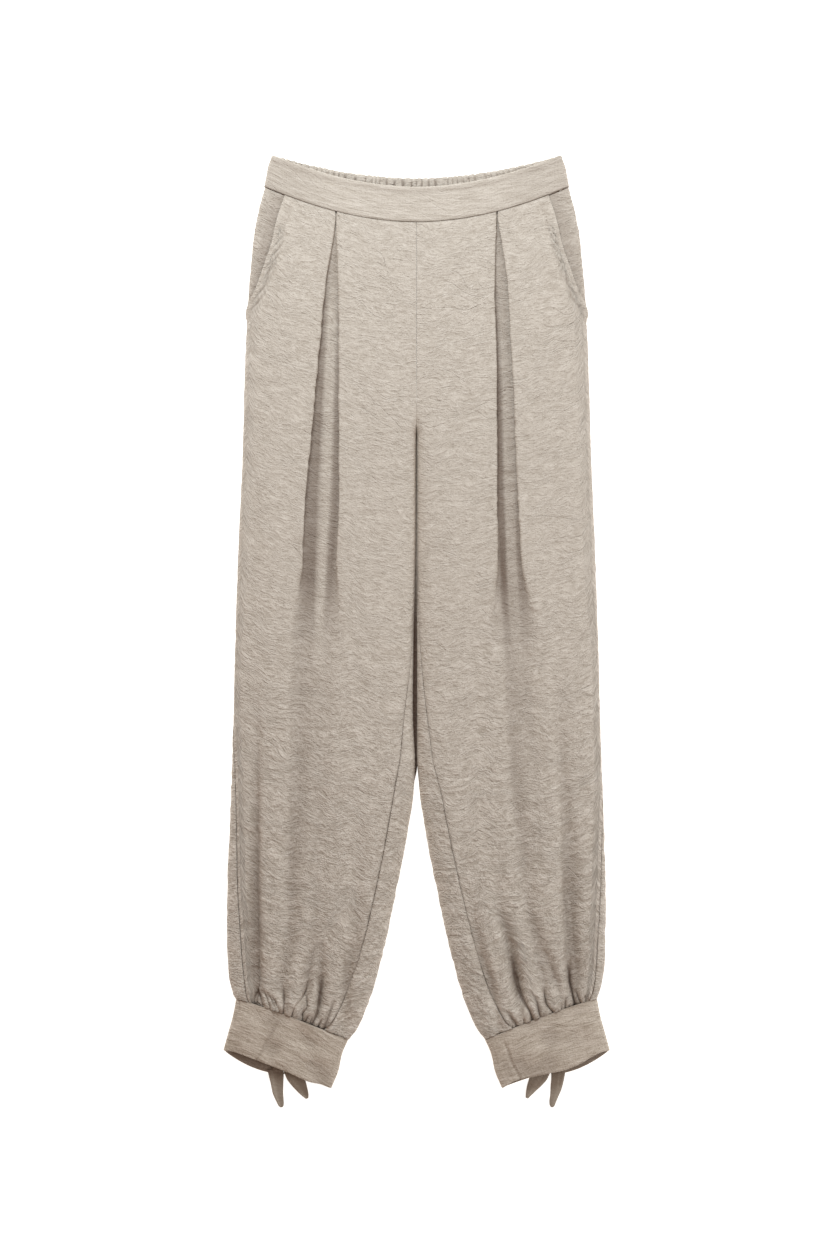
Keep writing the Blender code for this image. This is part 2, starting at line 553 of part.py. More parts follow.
def seam_shift(index, count):
    """Keeps the first and last rows of a piece clear of their seam lines."""
    return SEAM * (index == 0) - SEAM * (index == count - 1)


def make_front(side, sign):
    """A front leg panel with its inverted box pleat, folds and cuff gathers."""
    rows = []
    count = len(LEG_ROWS) + len(GATHER_ROWS)
    for i, row in enumerate(LEG_ROWS):
        section = Section(side, row)
        out, height, normals = front_row(section)
        down = section.level(out) + seam_shift(i, count)
        rows.append(row_walls(sign, out, down, height, normals))
    columns = len(rows[-1][0]) - 1
    for i, row in enumerate(GATHER_ROWS, start=len(LEG_ROWS)):
        section = Section(side, row)
        out, height, normals = gathered_row(section, 2 * columns)
        down = section.level(out) + seam_shift(i, count)
        rows.append(row_walls(sign, out, down, height, normals))
    return cloth_wall("front_leg_" + side, rows)


def make_back(side, sign):
    """A back leg panel: it wraps round both edges and lies flat underneath."""
    rows = []
    levels = LEG_ROWS + GATHER_ROWS
    for i, row in enumerate(levels):
        lift = (FRONT_WAIST_DIP - BACK_WAIST_DIP) * max(0.0, 1 - i / BACK_ROWS_LIFTED)
        section = Section(side, row, dip=row.at_centre - lift)
        out, height, normals = back_row(section)
        down = section.level(out) + seam_shift(i, len(levels))
        rows.append(row_walls(sign, out, down, height, normals))
    return cloth_wall("back_leg_" + side, rows, SHADE)


def make_pocket_facing(side, sign):
    """The facing behind a pocket mouth, from the side seam to under the front."""
    rows = []
    levels = [row for row in LEG_ROWS if float(pocket_depth(row.at_side)) > FACING_ENDS]
    for i, row in enumerate(levels):
        section = Section(side, row)
        mouth = float(pocket_depth(row.at_side))
        arcs = np.append(crowd(FACING_COLUMNS, SEAM, mouth, 1.0, 0), mouth + np.array(POCKET_REACH))
        out, height = section.from_side(arcs)
        normals = outward(out, height)
        ends_from(section.from_side, arcs, *normals, slice(None), 1)
        under = pocket_lift(section, out) - (WALL + FACING_GAP)
        sink = under * ease((arcs - SEAM) / (FACING_SINK * mouth))
        out = out + normals[0] * sink
        height = height + normals[1] * sink
        rows.append(row_walls(sign, out, section.level(out) + SEAM * (i == 0), height, normals))
    return cloth_wall("pocket_facing_" + side, rows, SHADE)


def band_level(out, half_width, dip, top):
    """Level along a waistband row that dips toward the centre."""
    share = np.clip((half_width - np.abs(out)) / half_width, 0, 1)
    return top + (dip - top) * (1 - (1 - share) ** SAG)


def make_waistband_front():
    """The flat front waistband, folded edge up."""
    rows = []
    for share in (0.0, 0.5, 1.0):
        side_level = BAND_SIDE * share
        half = float(smooth_curve(OUTER_EDGE, side_level)) - WALL / 2
        arcs = crowd(BAND_COLUMNS, SEAM, arc_at(half), 1.0, 0)
        inward, about_edge = edge_path(arcs, 1.0)
        out = half - inward
        crown = smooth_curve(CROWN, side_level) * (1 - np.exp(-inward / CROWN_OUTER))
        height = WALL / 2 + EDGE_RADIUS + about_edge + crown
        out = np.concatenate([out, -out[-2::-1]])
        height = np.concatenate([height, height[-2::-1]])
        dip = FRONT_BAND_DIP + (FRONT_WAIST_DIP - FRONT_BAND_DIP) * share
        down = band_level(out, half, dip, side_level) - SEAM * (share == 1.0)
        rows.append(row_walls(1, out, down, height))
    return cloth_wall("waistband_front", rows)


def make_waistband_back():
    """The elastic back waistband, gathered into ribs on its inner face."""
    rows = []
    for share in (0.0, 1.0):
        side_level = BAND_SIDE * share
        half = float(smooth_curve(OUTER_EDGE, side_level)) - WALL / 2
        turn = np.linspace(SEAM, EDGE_RADIUS * math.pi / 2, 5)
        inward, height = edge_path(-turn, 1.0)
        side_out = (half - inward)[::-1]
        side_height = (WALL / 2 + EDGE_RADIUS + height)[::-1]
        flat = np.linspace(-side_out[0], side_out[0], RIBS * RIB_COLUMNS + 1)
        out = np.concatenate([-side_out[::-1], flat[1:-1], side_out])
        height = np.concatenate([side_height[::-1], np.full(len(flat) - 2, WALL / 2), side_height])
        wave = 0.5 - 0.5 * np.cos(math.pi * RIBS * (flat / side_out[0] + 1))
        ribs = RIB_HEIGHT * np.pad(wave[1:-1], len(side_out))
        dip = BACK_BAND_DIP + (BACK_WAIST_DIP - BACK_BAND_DIP) * share
        down = band_level(out, half, dip, side_level) - SEAM * (share == 1.0)
        rows.append(row_walls(1, out, down, height, inside=WALL / 2 + ribs))
    return cloth_wall("waistband_back", rows, SHADE)


def make_cuff(side, sign):
    """A stiff band round the leg's end, open at a slit in the back."""
    rows = []
    for i, row in enumerate(CUFF_ROWS):
        outer = row.side_out - WALL / 2
        inner = row.inside_out + WALL / 2
        width = outer - inner
        share = i / (len(CUFF_ROWS) - 1)
        slit = inner + width * SLIT_AT
        half_slit = 0.5 * (SLIT_TOP + (SLIT_HEM - SLIT_TOP) * ease(share))
        flat = EDGE_RADIUS * math.pi / 2
        turn = np.linspace(-flat, flat, CUFF_EDGE)
        side_in, side_up = edge_path(turn, 1.0)
        below_out = np.linspace(slit + half_slit, outer - EDGE_RADIUS, CUFF_UNDER + 1)[:-1]
        over_out = np.linspace(outer - EDGE_RADIUS, inner + EDGE_RADIUS, CUFF_OVER + 2)[1:-1]
        below_in = np.linspace(inner + EDGE_RADIUS, slit - half_slit, CUFF_UNDER + 1)[1:]
        out = np.concatenate([below_out, outer - side_in, over_out, inner + side_in[::-1], below_in])
        to_edge = np.minimum(outer - over_out, over_out - inner)
        lift = CUFF_CROWN * (1 - np.exp(-to_edge / CUFF_CROWN_WIDTH))
        height = np.concatenate([np.zeros(CUFF_UNDER), EDGE_RADIUS + side_up,
                                 2 * EDGE_RADIUS + lift, EDGE_RADIUS + side_up[::-1],
                                 np.zeros(CUFF_UNDER)]) + WALL / 2
        across = np.clip((outer - out) / width, 0, 1)
        down = row.at_side + (row.at_inside - row.at_side) * across ** (1 + 0.2 * (1 - share))
        under = np.clip(1 - height / (2 * EDGE_RADIUS), 0, 1)
        bow = np.sin(math.pi * np.clip(across / BACK_HEM_WIDTH, 0, 1)) ** 0.7
        down = down + BACK_HEM_DROP * share ** 2 * under * bow + SEAM * (i == 0)
        rows.append(row_walls(sign, out, down, height))
    return cloth_wall("cuff_" + side, rows, SHADE)


def make_tie(name, sign, table):
    """A free end of a tie: a narrow double strip that lies on the surface."""
    rows = []
    down = np.array([row.down for row in table], float)
    out = np.array([row.out for row in table], float)
    along = np.stack([np.gradient(out), np.gradient(down)], axis=1)
    along /= np.linalg.norm(along, axis=1, keepdims=True)
    for i, row in enumerate(table):
        q = np.linspace(-1, 1, TIE_COLUMNS) * row.half_width
        across_out = row.out + q * along[i, 1]
        across_down = row.down - q * along[i, 0]
        height = np.full(TIE_COLUMNS, row.height)
        upper = place(sign, across_out, across_down, height + TIE_THICK / 2)
        lower = place(sign, across_out, across_down, height - TIE_THICK / 2)
        rows.append((upper, lower))
    return cloth_wall(name, rows, SHADE)


def make_knot(side, sign):
    """The plain knot of the tie, in the slit behind the cuff."""
    shaped = bmesh.new()
    bmesh.ops.create_uvsphere(shaped, u_segments=12, v_segments=8, radius=0.5)
    for vertex in shaped.verts:
        vertex.co.x *= KNOT_SIZE[0] * MM
        vertex.co.y *= KNOT_SIZE[1] * MM
        vertex.co.z *= KNOT_SIZE[2] * MM
    mesh = bpy.data.meshes.new("tie_knot_" + side)
    shaped.to_mesh(mesh)
    shaped.free()
    mesh.materials.append(material("tie_knot_" + side + "_cloth", SHADE))
    mesh.polygons.foreach_set("use_smooth", [True] * len(mesh.polygons))
    knot = bpy.data.objects.new("tie_knot_" + side, mesh)
    height = KNOT_SIZE[2] / 2 + KNOT_LIFT
    knot.location = (sign * KNOT_AT[1] * MM, (TOP - KNOT_AT[0]) * MM, height * MM)
    parts.objects.link(knot)
    return knot


for old in list(bpy.data.objects):
    bpy.data.objects.remove(old)

parts = bpy.data.collections.new(NAME)
bpy.context.scene.collection.children.link(parts)

make_waistband_front()
make_waistband_back()
for side, sign in (("left", -1), ("right", 1)):
    make_front(side, sign)
    make_back(side, sign)
    make_pocket_facing(side, sign)
    make_cuff(side, sign)
    make_knot(side, sign)
for tie_name, (tie_sign, tie_table) in TIES.items():
    make_tie(tie_name, tie_sign, tie_table)
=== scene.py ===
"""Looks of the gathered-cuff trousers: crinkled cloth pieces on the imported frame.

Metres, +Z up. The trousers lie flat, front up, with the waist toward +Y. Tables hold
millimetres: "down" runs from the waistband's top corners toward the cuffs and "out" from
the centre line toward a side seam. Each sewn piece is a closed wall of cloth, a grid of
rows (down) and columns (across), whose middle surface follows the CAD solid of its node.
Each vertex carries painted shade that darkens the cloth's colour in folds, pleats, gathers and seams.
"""

import logging
import math
from dataclasses import dataclass
from enum import Enum

import bpy
import numpy as np
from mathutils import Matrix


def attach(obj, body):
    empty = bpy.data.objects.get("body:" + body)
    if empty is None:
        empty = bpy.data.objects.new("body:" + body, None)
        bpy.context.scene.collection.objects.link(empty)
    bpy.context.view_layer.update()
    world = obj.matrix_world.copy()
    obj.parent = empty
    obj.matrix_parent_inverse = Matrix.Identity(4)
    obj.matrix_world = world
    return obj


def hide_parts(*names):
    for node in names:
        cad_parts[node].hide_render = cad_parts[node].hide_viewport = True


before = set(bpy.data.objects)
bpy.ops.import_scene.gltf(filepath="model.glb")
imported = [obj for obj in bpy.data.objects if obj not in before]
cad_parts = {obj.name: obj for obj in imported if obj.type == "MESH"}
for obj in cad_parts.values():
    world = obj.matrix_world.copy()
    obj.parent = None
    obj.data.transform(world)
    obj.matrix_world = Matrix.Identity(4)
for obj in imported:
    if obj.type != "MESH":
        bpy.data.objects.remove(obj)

LOG = logging.getLogger("trousers")
MM = 0.001
MAP_START = 400          # mm, where a piece's middle column lies on the flat cloth
TINY = 1e-9              # keeps a length from being zero
Points = tuple[tuple[float, ...], ...]

LENGTH = 1097.0          # waistband corner to the tip of the longest tie
TOP = LENGTH / 2         # place of the waistband's corners along Y
WALL = 1.3               # thickness of the cloth wall
SEAM = 0.15              # each piece stops this far short of its seam line
EDGE_RADIUS = 4.2        # roundness of the folded side edges
EDGE_ARC = EDGE_RADIUS * math.pi / 2             # arc of an edge's quarter circle
EDGE_EXTRA = EDGE_RADIUS * (math.pi / 2 - 1)     # that arc less its way in

# A leg's side edge and inner edge as (down, out), and its fullness as (down, rise).
OUTER_EDGE = ((0, 166.3), (11, 170.9), (23, 173.2), (40, 176.7), (57, 181.1), (86, 186.9),
              (121, 190.9), (167, 194.4), (236, 197.8), (339, 200.7), (454, 205.3),
              (569, 209.3), (684, 212.2), (799, 216.3), (857, 218.0), (914, 217.4),
              (945, 215.0), (960, 212.0), (971, 207.7))
INNER_EDGE = ((321, 0.2), (690, 0.2), (720, 2.4), (742, 5.2), (799, 14.4), (857, 25.9),
              (914, 38.5), (949, 47.7), (972, 54.6), (983, 58.6), (1006, 69.5), (1018, 78.4))
CROWN = ((0, 3.0), (60, 5.0), (150, 8.0), (321, 10.0), (600, 11.0), (850, 10.5),
         (960, 8.0), (1020, 4.0))
CROWN_OUTER = 26.0       # the crown rises over this width from a side edge
CROWN_INNER = 12.0
SAG = 1.9                # exponent of the waist edge's dip toward the centre
SLANT = 1.2              # exponent of the cuff seam's slant

LATTICE = 128            # cells of the noise lattice before it repeats
# Cells of the larger crinkles in mm, across and down the cloth.
CRINKLE_CELLS = {"bend": (52, 60), "strength": (48, 70), "level": (27, 10.5), "lean": (34, 12.5),
                 "drape": (34, 240)}
CRINKLE_BEND = 7         # mm that the level crinkles wander up and down
CRINKLE_DEPTHS = (0.75, 0.62, 0.55)   # mm, of the level and leaning crinkles and the drape


class Side(Enum):
    """The two legs, as the viewer sees them, with the sign of X."""

    LEFT = -1
    RIGHT = 1


def smooth_curve(points: Points, at: np.ndarray) -> np.ndarray:
    """Monotone cubic through points, held flat past its ends.

    Between two points it is the cubic Hermite h00·y0 + h10·s·m0 + h01·y1 + h11·s·m1, with
    harmonic mean slopes m, so it never overshoots.

    Args:
        points: (place, value) pairs with rising places.
        at: Places to work out.

    Returns:
        The values, in the shape of at.
    """
    table = np.array([point[:2] for point in points], float)
    x, y = table[:, 0], table[:, 1]
    step = np.diff(x)
    rise = np.diff(y) / step
    slope = np.zeros_like(y)
    same_way = rise[:-1] * rise[1:] > 0
    mean = 2 * rise[:-1] * rise[1:] / np.where(same_way, rise[:-1] + rise[1:], 1)
    slope[1:-1] = np.where(same_way, mean, 0)
    slope[0], slope[-1] = rise[0], rise[-1]
    at = np.clip(np.asarray(at, float), x[0], x[-1])
    cell = np.clip(np.searchsorted(x, at, side="right") - 1, 0, len(step) - 1)
    q = (at - x[cell]) / step[cell]
    return ((1 + 2 * q) * (1 - q) ** 2 * y[cell] + q * (1 - q) ** 2 * step[cell] * slope[cell]
            + q * q * (3 - 2 * q) * y[cell + 1] + q * q * (q - 1) * step[cell] * slope[cell + 1])


def ease(q: np.ndarray) -> np.ndarray:
    """Smooth step from 0 to 1: q²(3 − 2q), held past both ends."""
    q = np.clip(q, 0, 1)
    return q * q * (3 - 2 * q)


def bell(q: np.ndarray) -> np.ndarray:
    """Bell exp(−q²), 1 in the middle."""
    return np.exp(-q * q)


def bells(table: Points, at: np.ndarray) -> np.ndarray:
    """Sum of bells height · exp(−((at − middle)/width)²), one for each row of the table."""
    return sum(height * bell((at - middle) / width) for height, middle, width in table)


def soft_noise(x: np.ndarray, y: np.ndarray, seed: int) -> np.ndarray:
    """Smooth noise from −1 to 1: seeded lattice values blended by q²(3 − 2q) both ways.

    Args:
        x: Place in lattice cells, one way.
        y: Place in lattice cells, the other way.
        seed: Which lattice.

    Returns:
        The noise at each place.
    """
    lattice = np.random.default_rng(seed).uniform(-1, 1, (LATTICE, LATTICE))
    column = np.floor(x).astype(int)
    row = np.floor(y).astype(int)
    fade_x = ease(x - column)
    fade_y = ease(y - row)
    left, right = column % LATTICE, (column + 1) % LATTICE
    near, far = (lattice[left, line] * (1 - fade_x) + lattice[right, line] * fade_x
                 for line in (row % LATTICE, (row + 1) % LATTICE))
    return near * (1 - fade_y) + far * fade_y


def cell_noise(u: np.ndarray, v: np.ndarray, name: str, seed: int) -> np.ndarray:
    """Smooth noise in the crinkle cells of this name, at places in mm."""
    width, length = CRINKLE_CELLS[name]
    return soft_noise(u / width, v / length, seed)


def creases(u: np.ndarray, v: np.ndarray, seed: int) -> np.ndarray:
    """Relief of the crinkled cloth in mm, larger than what the material's bump draws.

    Two sets of ridges 1 − |noise|, one near horizontal and one leaning, each uneven in
    strength, over a long soft unevenness down the leg.

    Args:
        u: Place across the cloth in mm.
        v: Place down the cloth in mm.
        seed: Which cloth.

    Returns:
        Heights about zero.
    """
    bend = CRINKLE_BEND * cell_noise(u, v, "bend", seed + 1)
    strength = 0.55 + 0.45 * cell_noise(u, v, "strength", seed + 2)
    level = 0.55 - np.abs(cell_noise(u, v + bend, "level", seed + 3))
    lean = 0.5 - np.abs(cell_noise(u + 0.7 * v, v - 0.55 * u + bend, "lean", seed + 4))
    drape = cell_noise(u, v, "drape", seed + 5)
    level_depth, lean_depth, drape_depth = CRINKLE_DEPTHS
    return level_depth * strength * level + lean_depth * (1.1 - strength) * lean + drape_depth * drape


def run_along(points: np.ndarray, axis: int) -> np.ndarray:
    """Length from the grid's first row or column to each point: the running sum of steps.

    Args:
        points: Rows × columns × 3.
        axis: 0 to run down the columns, 1 to run across the rows.

    Returns:
        The lengths, rows × columns.
    """
    steps = np.linalg.norm(np.diff(points, axis=axis), axis=2)
    start = np.zeros_like(np.take(steps, [0], axis))
    return np.concatenate([start, np.cumsum(steps, axis=axis)], axis=axis)


@dataclass(frozen=True)
class Cloth:
    """A piece's middle surface in mm and how its two faces stand off it."""

    middle: np.ndarray                    # rows × columns × 3
    way: int                              # 1 or −1, so that the outer face looks out
    relief: np.ndarray                    # shift of the whole wall along its normal
    outside: float = WALL / 2
    inside: np.ndarray | float = WALL / 2
    rounding: tuple[float, float, float, float] = (0.0, 0.0, 0.0, 0.0)
    shade: np.ndarray | float = 0.0       # painted shade of the outer face, 0 to 1
    inner_shade: float = 0.7              # painted shade of the inner face

    def normals(self) -> np.ndarray:
        """Unit normals: across × along, turned outward.

        Returns:
            A normal for each point, rows × columns × 3.
        """
        across = np.gradient(self.middle, axis=1)
        along = np.gradient(self.middle, axis=0)
        normal = self.way * np.cross(across, along)
        return normal / np.maximum(np.linalg.norm(normal, axis=2, keepdims=True), TINY)

    def flat_map(self) -> np.ndarray:
        """Place on the flat cloth in metres: arc from the middle column, and length down it.

        The arc turns with the side and starts off centre, so that no two legs match.

        Returns:
            Two places for each point, rows × columns × 2.
        """
        arc = run_along(self.middle, 1)
        arc -= arc[:, [arc.shape[1] // 2]]
        return np.stack([self.way * (arc + MAP_START), run_along(self.middle, 0)], axis=2) * MM

    def area(self) -> float:
        """Area of the middle surface: the sum of |across × along| over its cells.

        Returns:
            Square metres.
        """
        across = np.diff(self.middle, axis=1)[:-1]
        along = np.diff(self.middle, axis=0)[:, :-1]
        return float(np.linalg.norm(np.cross(across, along), axis=2).sum()) * MM * MM

    def make(self, name: str) -> bpy.types.Object:
        """Builds the closed wall: two faces joined by a rim with a rounded middle line.

        Args:
            name: Name of the new object.

        Returns:
            The object, with the flat cloth as its UV map.
        """
        rows, columns = self.middle.shape[:2]
        normal = self.normals()
        relief = self.relief[..., None]
        inside = np.broadcast_to(self.inside, (rows, columns))[..., None]
        outer = self.middle + normal * (relief + self.outside)
        inner = self.middle + normal * (relief - inside)
        index = np.arange(rows * columns).reshape(rows, columns)
        border = np.concatenate([index[0, :-1], index[:-1, -1], index[-1, :0:-1], index[:0:-1, 0]])
        after = np.roll(border, -1)
        line = (0.5 * (outer + inner) + self.rim_push()).reshape(-1, 3)[border]
        rim = 2 * rows * columns + np.arange(len(border))
        rim_after = np.roll(rim, -1)
        front = np.stack([index[:-1, :-1], index[:-1, 1:], index[1:, 1:], index[1:, :-1]], -1).reshape(-1, 4)
        under = rows * columns
        faces = np.concatenate([
            front,
            front[:, ::-1] + under,
            np.stack([after, border, rim, rim_after], -1),
            np.stack([rim_after, rim, border + under, after + under], -1),
        ])
        if self.way < 0:
            faces = faces[:, ::-1]
        points = np.concatenate([outer.reshape(-1, 3), inner.reshape(-1, 3), line]) * MM
        flat = self.flat_map().reshape(-1, 2)
        flat = np.concatenate([flat, flat, flat[border]])
        # Painted shade of each vertex; the inner face gets at least its own painted shade.
        shade = np.broadcast_to(self.shade, (rows, columns)).ravel()
        inner_shade = np.maximum(shade, self.inner_shade)
        shade = np.concatenate([shade, inner_shade, shade[border]])
        return mesh_object(name, points, faces, flat, np.clip(shade, 0, 1))

    def rim_push(self) -> np.ndarray:
        """How far the rim's middle line stands out of the grid, away from its next row or column.

        Returns:
            A shift in mm for each point, zero off the border.
        """
        push = np.zeros_like(self.middle)
        ends = ((0, 1, 0), (-1, -2, 0), (0, 1, 1), (-1, -2, 1))
        for (edge, inward, axis), reach in zip(ends, self.rounding):
            outward = np.take(self.middle, edge, axis) - np.take(self.middle, inward, axis)
            outward /= np.maximum(np.linalg.norm(outward, axis=-1, keepdims=True), TINY)
            if axis == 0:
                push[edge] += outward * reach
            else:
                push[:, edge] += outward * reach
        return push


def mesh_object(name: str, points: np.ndarray, faces: np.ndarray, flat: np.ndarray,
                shade: np.ndarray) -> bpy.types.Object:
    """Puts whole arrays into a smooth mesh object at the origin.

    Args:
        name: Name of the object and its mesh.
        points: Vertices in metres.
        faces: Quads as vertex numbers.
        flat: Place of each vertex on the flat cloth, in metres.
        shade: Painted shade of each vertex, from 0 to 1.

    Returns:
        The object, linked to the scene.
    """
    mesh = bpy.data.meshes.new(name)
    mesh.vertices.add(len(points))
    mesh.vertices.foreach_set("co", points.ravel())
    mesh.loops.add(faces.size)
    mesh.loops.foreach_set("vertex_index", faces.ravel())
    mesh.polygons.add(len(faces))
    mesh.polygons.foreach_set("loop_start", np.arange(len(faces)) * faces.shape[1])
    mesh.update(calc_edges=True)
    mesh.polygons.foreach_set("use_smooth", np.ones(len(faces), bool))
    layer = mesh.uv_layers.new(name="flat_cloth")
    layer.data.foreach_set("uv", flat[faces.ravel()].ravel())
    # Painted shade, which the material mixes into the cloth's colour.
    painted_shade = mesh.attributes.new("painted_shade", "FLOAT", "POINT")
    painted_shade.data.foreach_set("value", shade.astype(np.float32))
    mesh.validate()
    thing = bpy.data.objects.new(name, mesh)
    bpy.context.scene.collection.objects.link(thing)
    return thing


def linear(colour: str) -> tuple[float, float, float, float]:
    """Turns an sRGB hex colour into Blender's linear RGBA by the sRGB curve."""
    parts = [int(colour[i:i + 2], 16) / 255 for i in (1, 3, 5)]
    return (*(part / 12.92 if part <= 0.04045 else ((part + 0.055) / 1.055) ** 2.4 for part in parts), 1.0)


YARNS_IN_CELL = 6.28     # a cell of the wave texture holds about three waves of two yarns
WEAVE_LENGTH = 60.0      # mm over which a yarn wanders
# Operations of the materials' sums.
TIMES, PLUS, LESS = ({"operation": word} for word in ("MULTIPLY", "ADD", "SUBTRACT"))


def add_node(tree: bpy.types.NodeTree, kind: str, settings: dict | None = None,
             links: dict | None = None) -> bpy.types.Node:
    """Adds a node with its settings and links.

    Args:
        tree: Where it goes.
        kind: Its type name.
        settings: Values for its properties, or for its sockets by name or number.
        links: Output sockets to join to its inputs, by name or number.

    Returns:
        The node.
    """
    node = tree.nodes.new(kind)
    for key, value in (settings or {}).items():
        if isinstance(key, str) and hasattr(node, key):
            setattr(node, key, value)
        else:
            node.inputs[key].default_value = value
    for key, source in (links or {}).items():
        tree.links.new(source, node.inputs[key])
    return node


@dataclass(frozen=True)
class CrinkledCrepe:
    """Viscose and linen crepe, woven with twisted yarn that shrinks into fine crinkles.

    The eye sees a matt oatmeal cloth with short, mostly level wrinkles, with a painted highlight
    on their crests and painted shade in their troughs, a faint slub grain and a soft nap against the light.
    """

    name: str
    crest: str = "#ebe2d7"                # crests of the wrinkles, painted highlight
    trough: str = "#c4b9ac"               # troughs and the ground between yarns, painted shade
    painted_shade: str = "#5a3f2e"                 # colour that the painted shade darkens toward, in pleats, gathers and seams
    wrinkle_length: float = 10.5          # mm
    wrinkle_spacing: float = 3.9          # mm
    fine_length: float = 3.4              # mm
    fine_spacing: float = 1.9             # mm
    yarn_spacing: float = 1.5             # mm, real yarns lie 0.4 mm apart, too fine to show
    wrinkle_depth: float = 2.1            # mm
    swirl: float = 19.0                   # mm that the wrinkles wander off their line
    lean: float = 0.8                     # turn of the leaning wrinkles, in radians
    contrast: float = 1.0                 # of the tones between crest and trough
    growth: float = 1.9                   # how much stronger the wrinkles are low on a leg
    grows_over: tuple[float, float] = (0.40, 0.85)  # metres down the cloth
    weights: tuple[float, float, float, float] = (0.56, 0.54, 0.34, 0.34)  # of the four noises
    mean: float = 0.89                    # of their sum
    relief_tone: float = 1.5              # how much of the relief is painted into the colour as highlight and shade
    tone_reach: float = 0.36              # tones this far off the mean are crest and trough
    grain: float = 0.014                  # height of the yarns, as a share of the wrinkles
    crease: float = 0.2                   # depth of the sparse sharp creases, likewise
    slub_tone: float = 0.35               # strength of the pale slub streaks
    wander_cell: float = 38.0             # mm, size of the wrinkles' swirls
    sheen: float = 0.25
    sheen_roughness: float = 0.5
    sheen_tint: str = "#efe6da"
    specular: float = 0.25
    roughness: float = 0.82

    def layers(self) -> dict[str, tuple[float, float, float, float, float]]:
        """Noises of the cloth: long wrinkles, two leaning sets, fine ones, specks and streaks.

        Returns:
            Length and spacing in mm, turn in radians, detail and distortion, by name.
        """
        length, spacing = self.wrinkle_length, self.wrinkle_spacing
        return {
            "wrinkles": (length * 1.25, spacing, 0.06, 1.6, 0.9),
            "leaning": (length * 1.2, spacing * 1.1, self.lean, 2.0, 0.5),
            "fallen": (length * 1.1, spacing * 1.1, -self.lean, 2.0, 0.5),
            "fine": (self.fine_length, self.fine_spacing, 0.0, 2.0, 0.5),
            "speckle": (1.7, 1.4, 0.0, 1.0, 0.0),
            "patches": (46.0, 60.0, 0.0, 1.0, 0.3),
            "slub": (0.9, 26.0, 0.0, 2.0, 0.0),
            "sparse": (44.0, 15.0, 0.5, 0.0, 0.25),
        }

    def steps(self) -> tuple[tuple[str, str, dict], ...]:
        """Sums and ranges that turn the layers into the height and tone of the cloth.

        The relief is the weighted sum of wrinkles, turned ones, fine ones and speckle less its
        mean, stronger low on the leg. The turned ones lean one way or the other by patches.
        The tone is the relief painted in as highlight and shade, plus the slub's pale streaks.

        Returns:
            Name, kind of node and its values, where a value may be an earlier name.
        """
        term, span = "ShaderNodeMath", "ShaderNodeMapRange"
        reach = self.tone_reach / self.contrast
        of_wrinkles, of_turned, of_fine, of_speckle = self.weights
        low, high = self.grows_over
        return (
            ("deeper", span, {"From Min": low, "From Max": high, "To Min": 1.0, "To Max": self.growth,
                              "Value": "down"}),
            ("leaning part", term, {**TIMES, 0: "leaning", 1: "patches"}),
            ("other patches", term, {**LESS, 0: 1.0, 1: "patches"}),
            ("fallen part", term, {**TIMES, 0: "fallen", 1: "other patches"}),
            ("turned", term, {**PLUS, 0: "leaning part", 1: "fallen part"}),
            ("wrinkle share", term, {**TIMES, 0: "wrinkles", 1: of_wrinkles}),
            ("turned share", term, {**TIMES, 0: "turned", 1: of_turned}),
            ("broad", term, {**PLUS, 0: "wrinkle share", 1: "turned share"}),
            ("fine share", term, {**TIMES, 0: "fine", 1: of_fine}),
            ("speckle share", term, {**TIMES, 0: "speckle", 1: of_speckle}),
            ("pebbles", term, {**PLUS, 0: "fine share", 1: "speckle share"}),
            ("summed", term, {**PLUS, 0: "broad", 1: "pebbles"}),
            ("level", term, {**LESS, 0: "summed", 1: self.mean}),
            ("relief", term, {**TIMES, 0: "level", 1: "deeper"}),
            ("yarns", term, {**PLUS, 0: "warp", 1: "weft"}),
            ("grain", term, {**TIMES, 0: "yarns", 1: self.grain}),
            ("off the crease", term, {**LESS, 0: "sparse", 1: 0.5}),
            ("beside it", term, {"operation": "ABSOLUTE", 0: "off the crease"}),
            ("in it", span, {"From Min": 0.0, "From Max": 0.03, "To Min": self.crease, "To Max": 0.0,
                             "Value": "beside it"}),
            ("kept", span, {"From Min": 0.5, "From Max": 0.6, "Value": "patches"}),
            ("crease", term, {**TIMES, 0: "in it", 1: "kept"}),
            ("with grain", term, {**PLUS, 0: "relief", 1: "grain"}),
            ("height", term, {**LESS, 0: "with grain", 1: "crease"}),
            ("slub level", term, {**LESS, 0: "slub", 1: 0.5}),
            ("streaks", term, {**TIMES, 0: "slub level", 1: self.slub_tone}),
            # The relief painted into the colour as highlight on crests and shade in troughs.
            ("relief tone", term, {**TIMES, 0: "relief", 1: self.relief_tone}),
            ("tone", term, {**PLUS, 0: "relief tone", 1: "streaks"}),
            ("spread", span, {"From Min": -reach, "From Max": reach, "Value": "tone"}),
        )

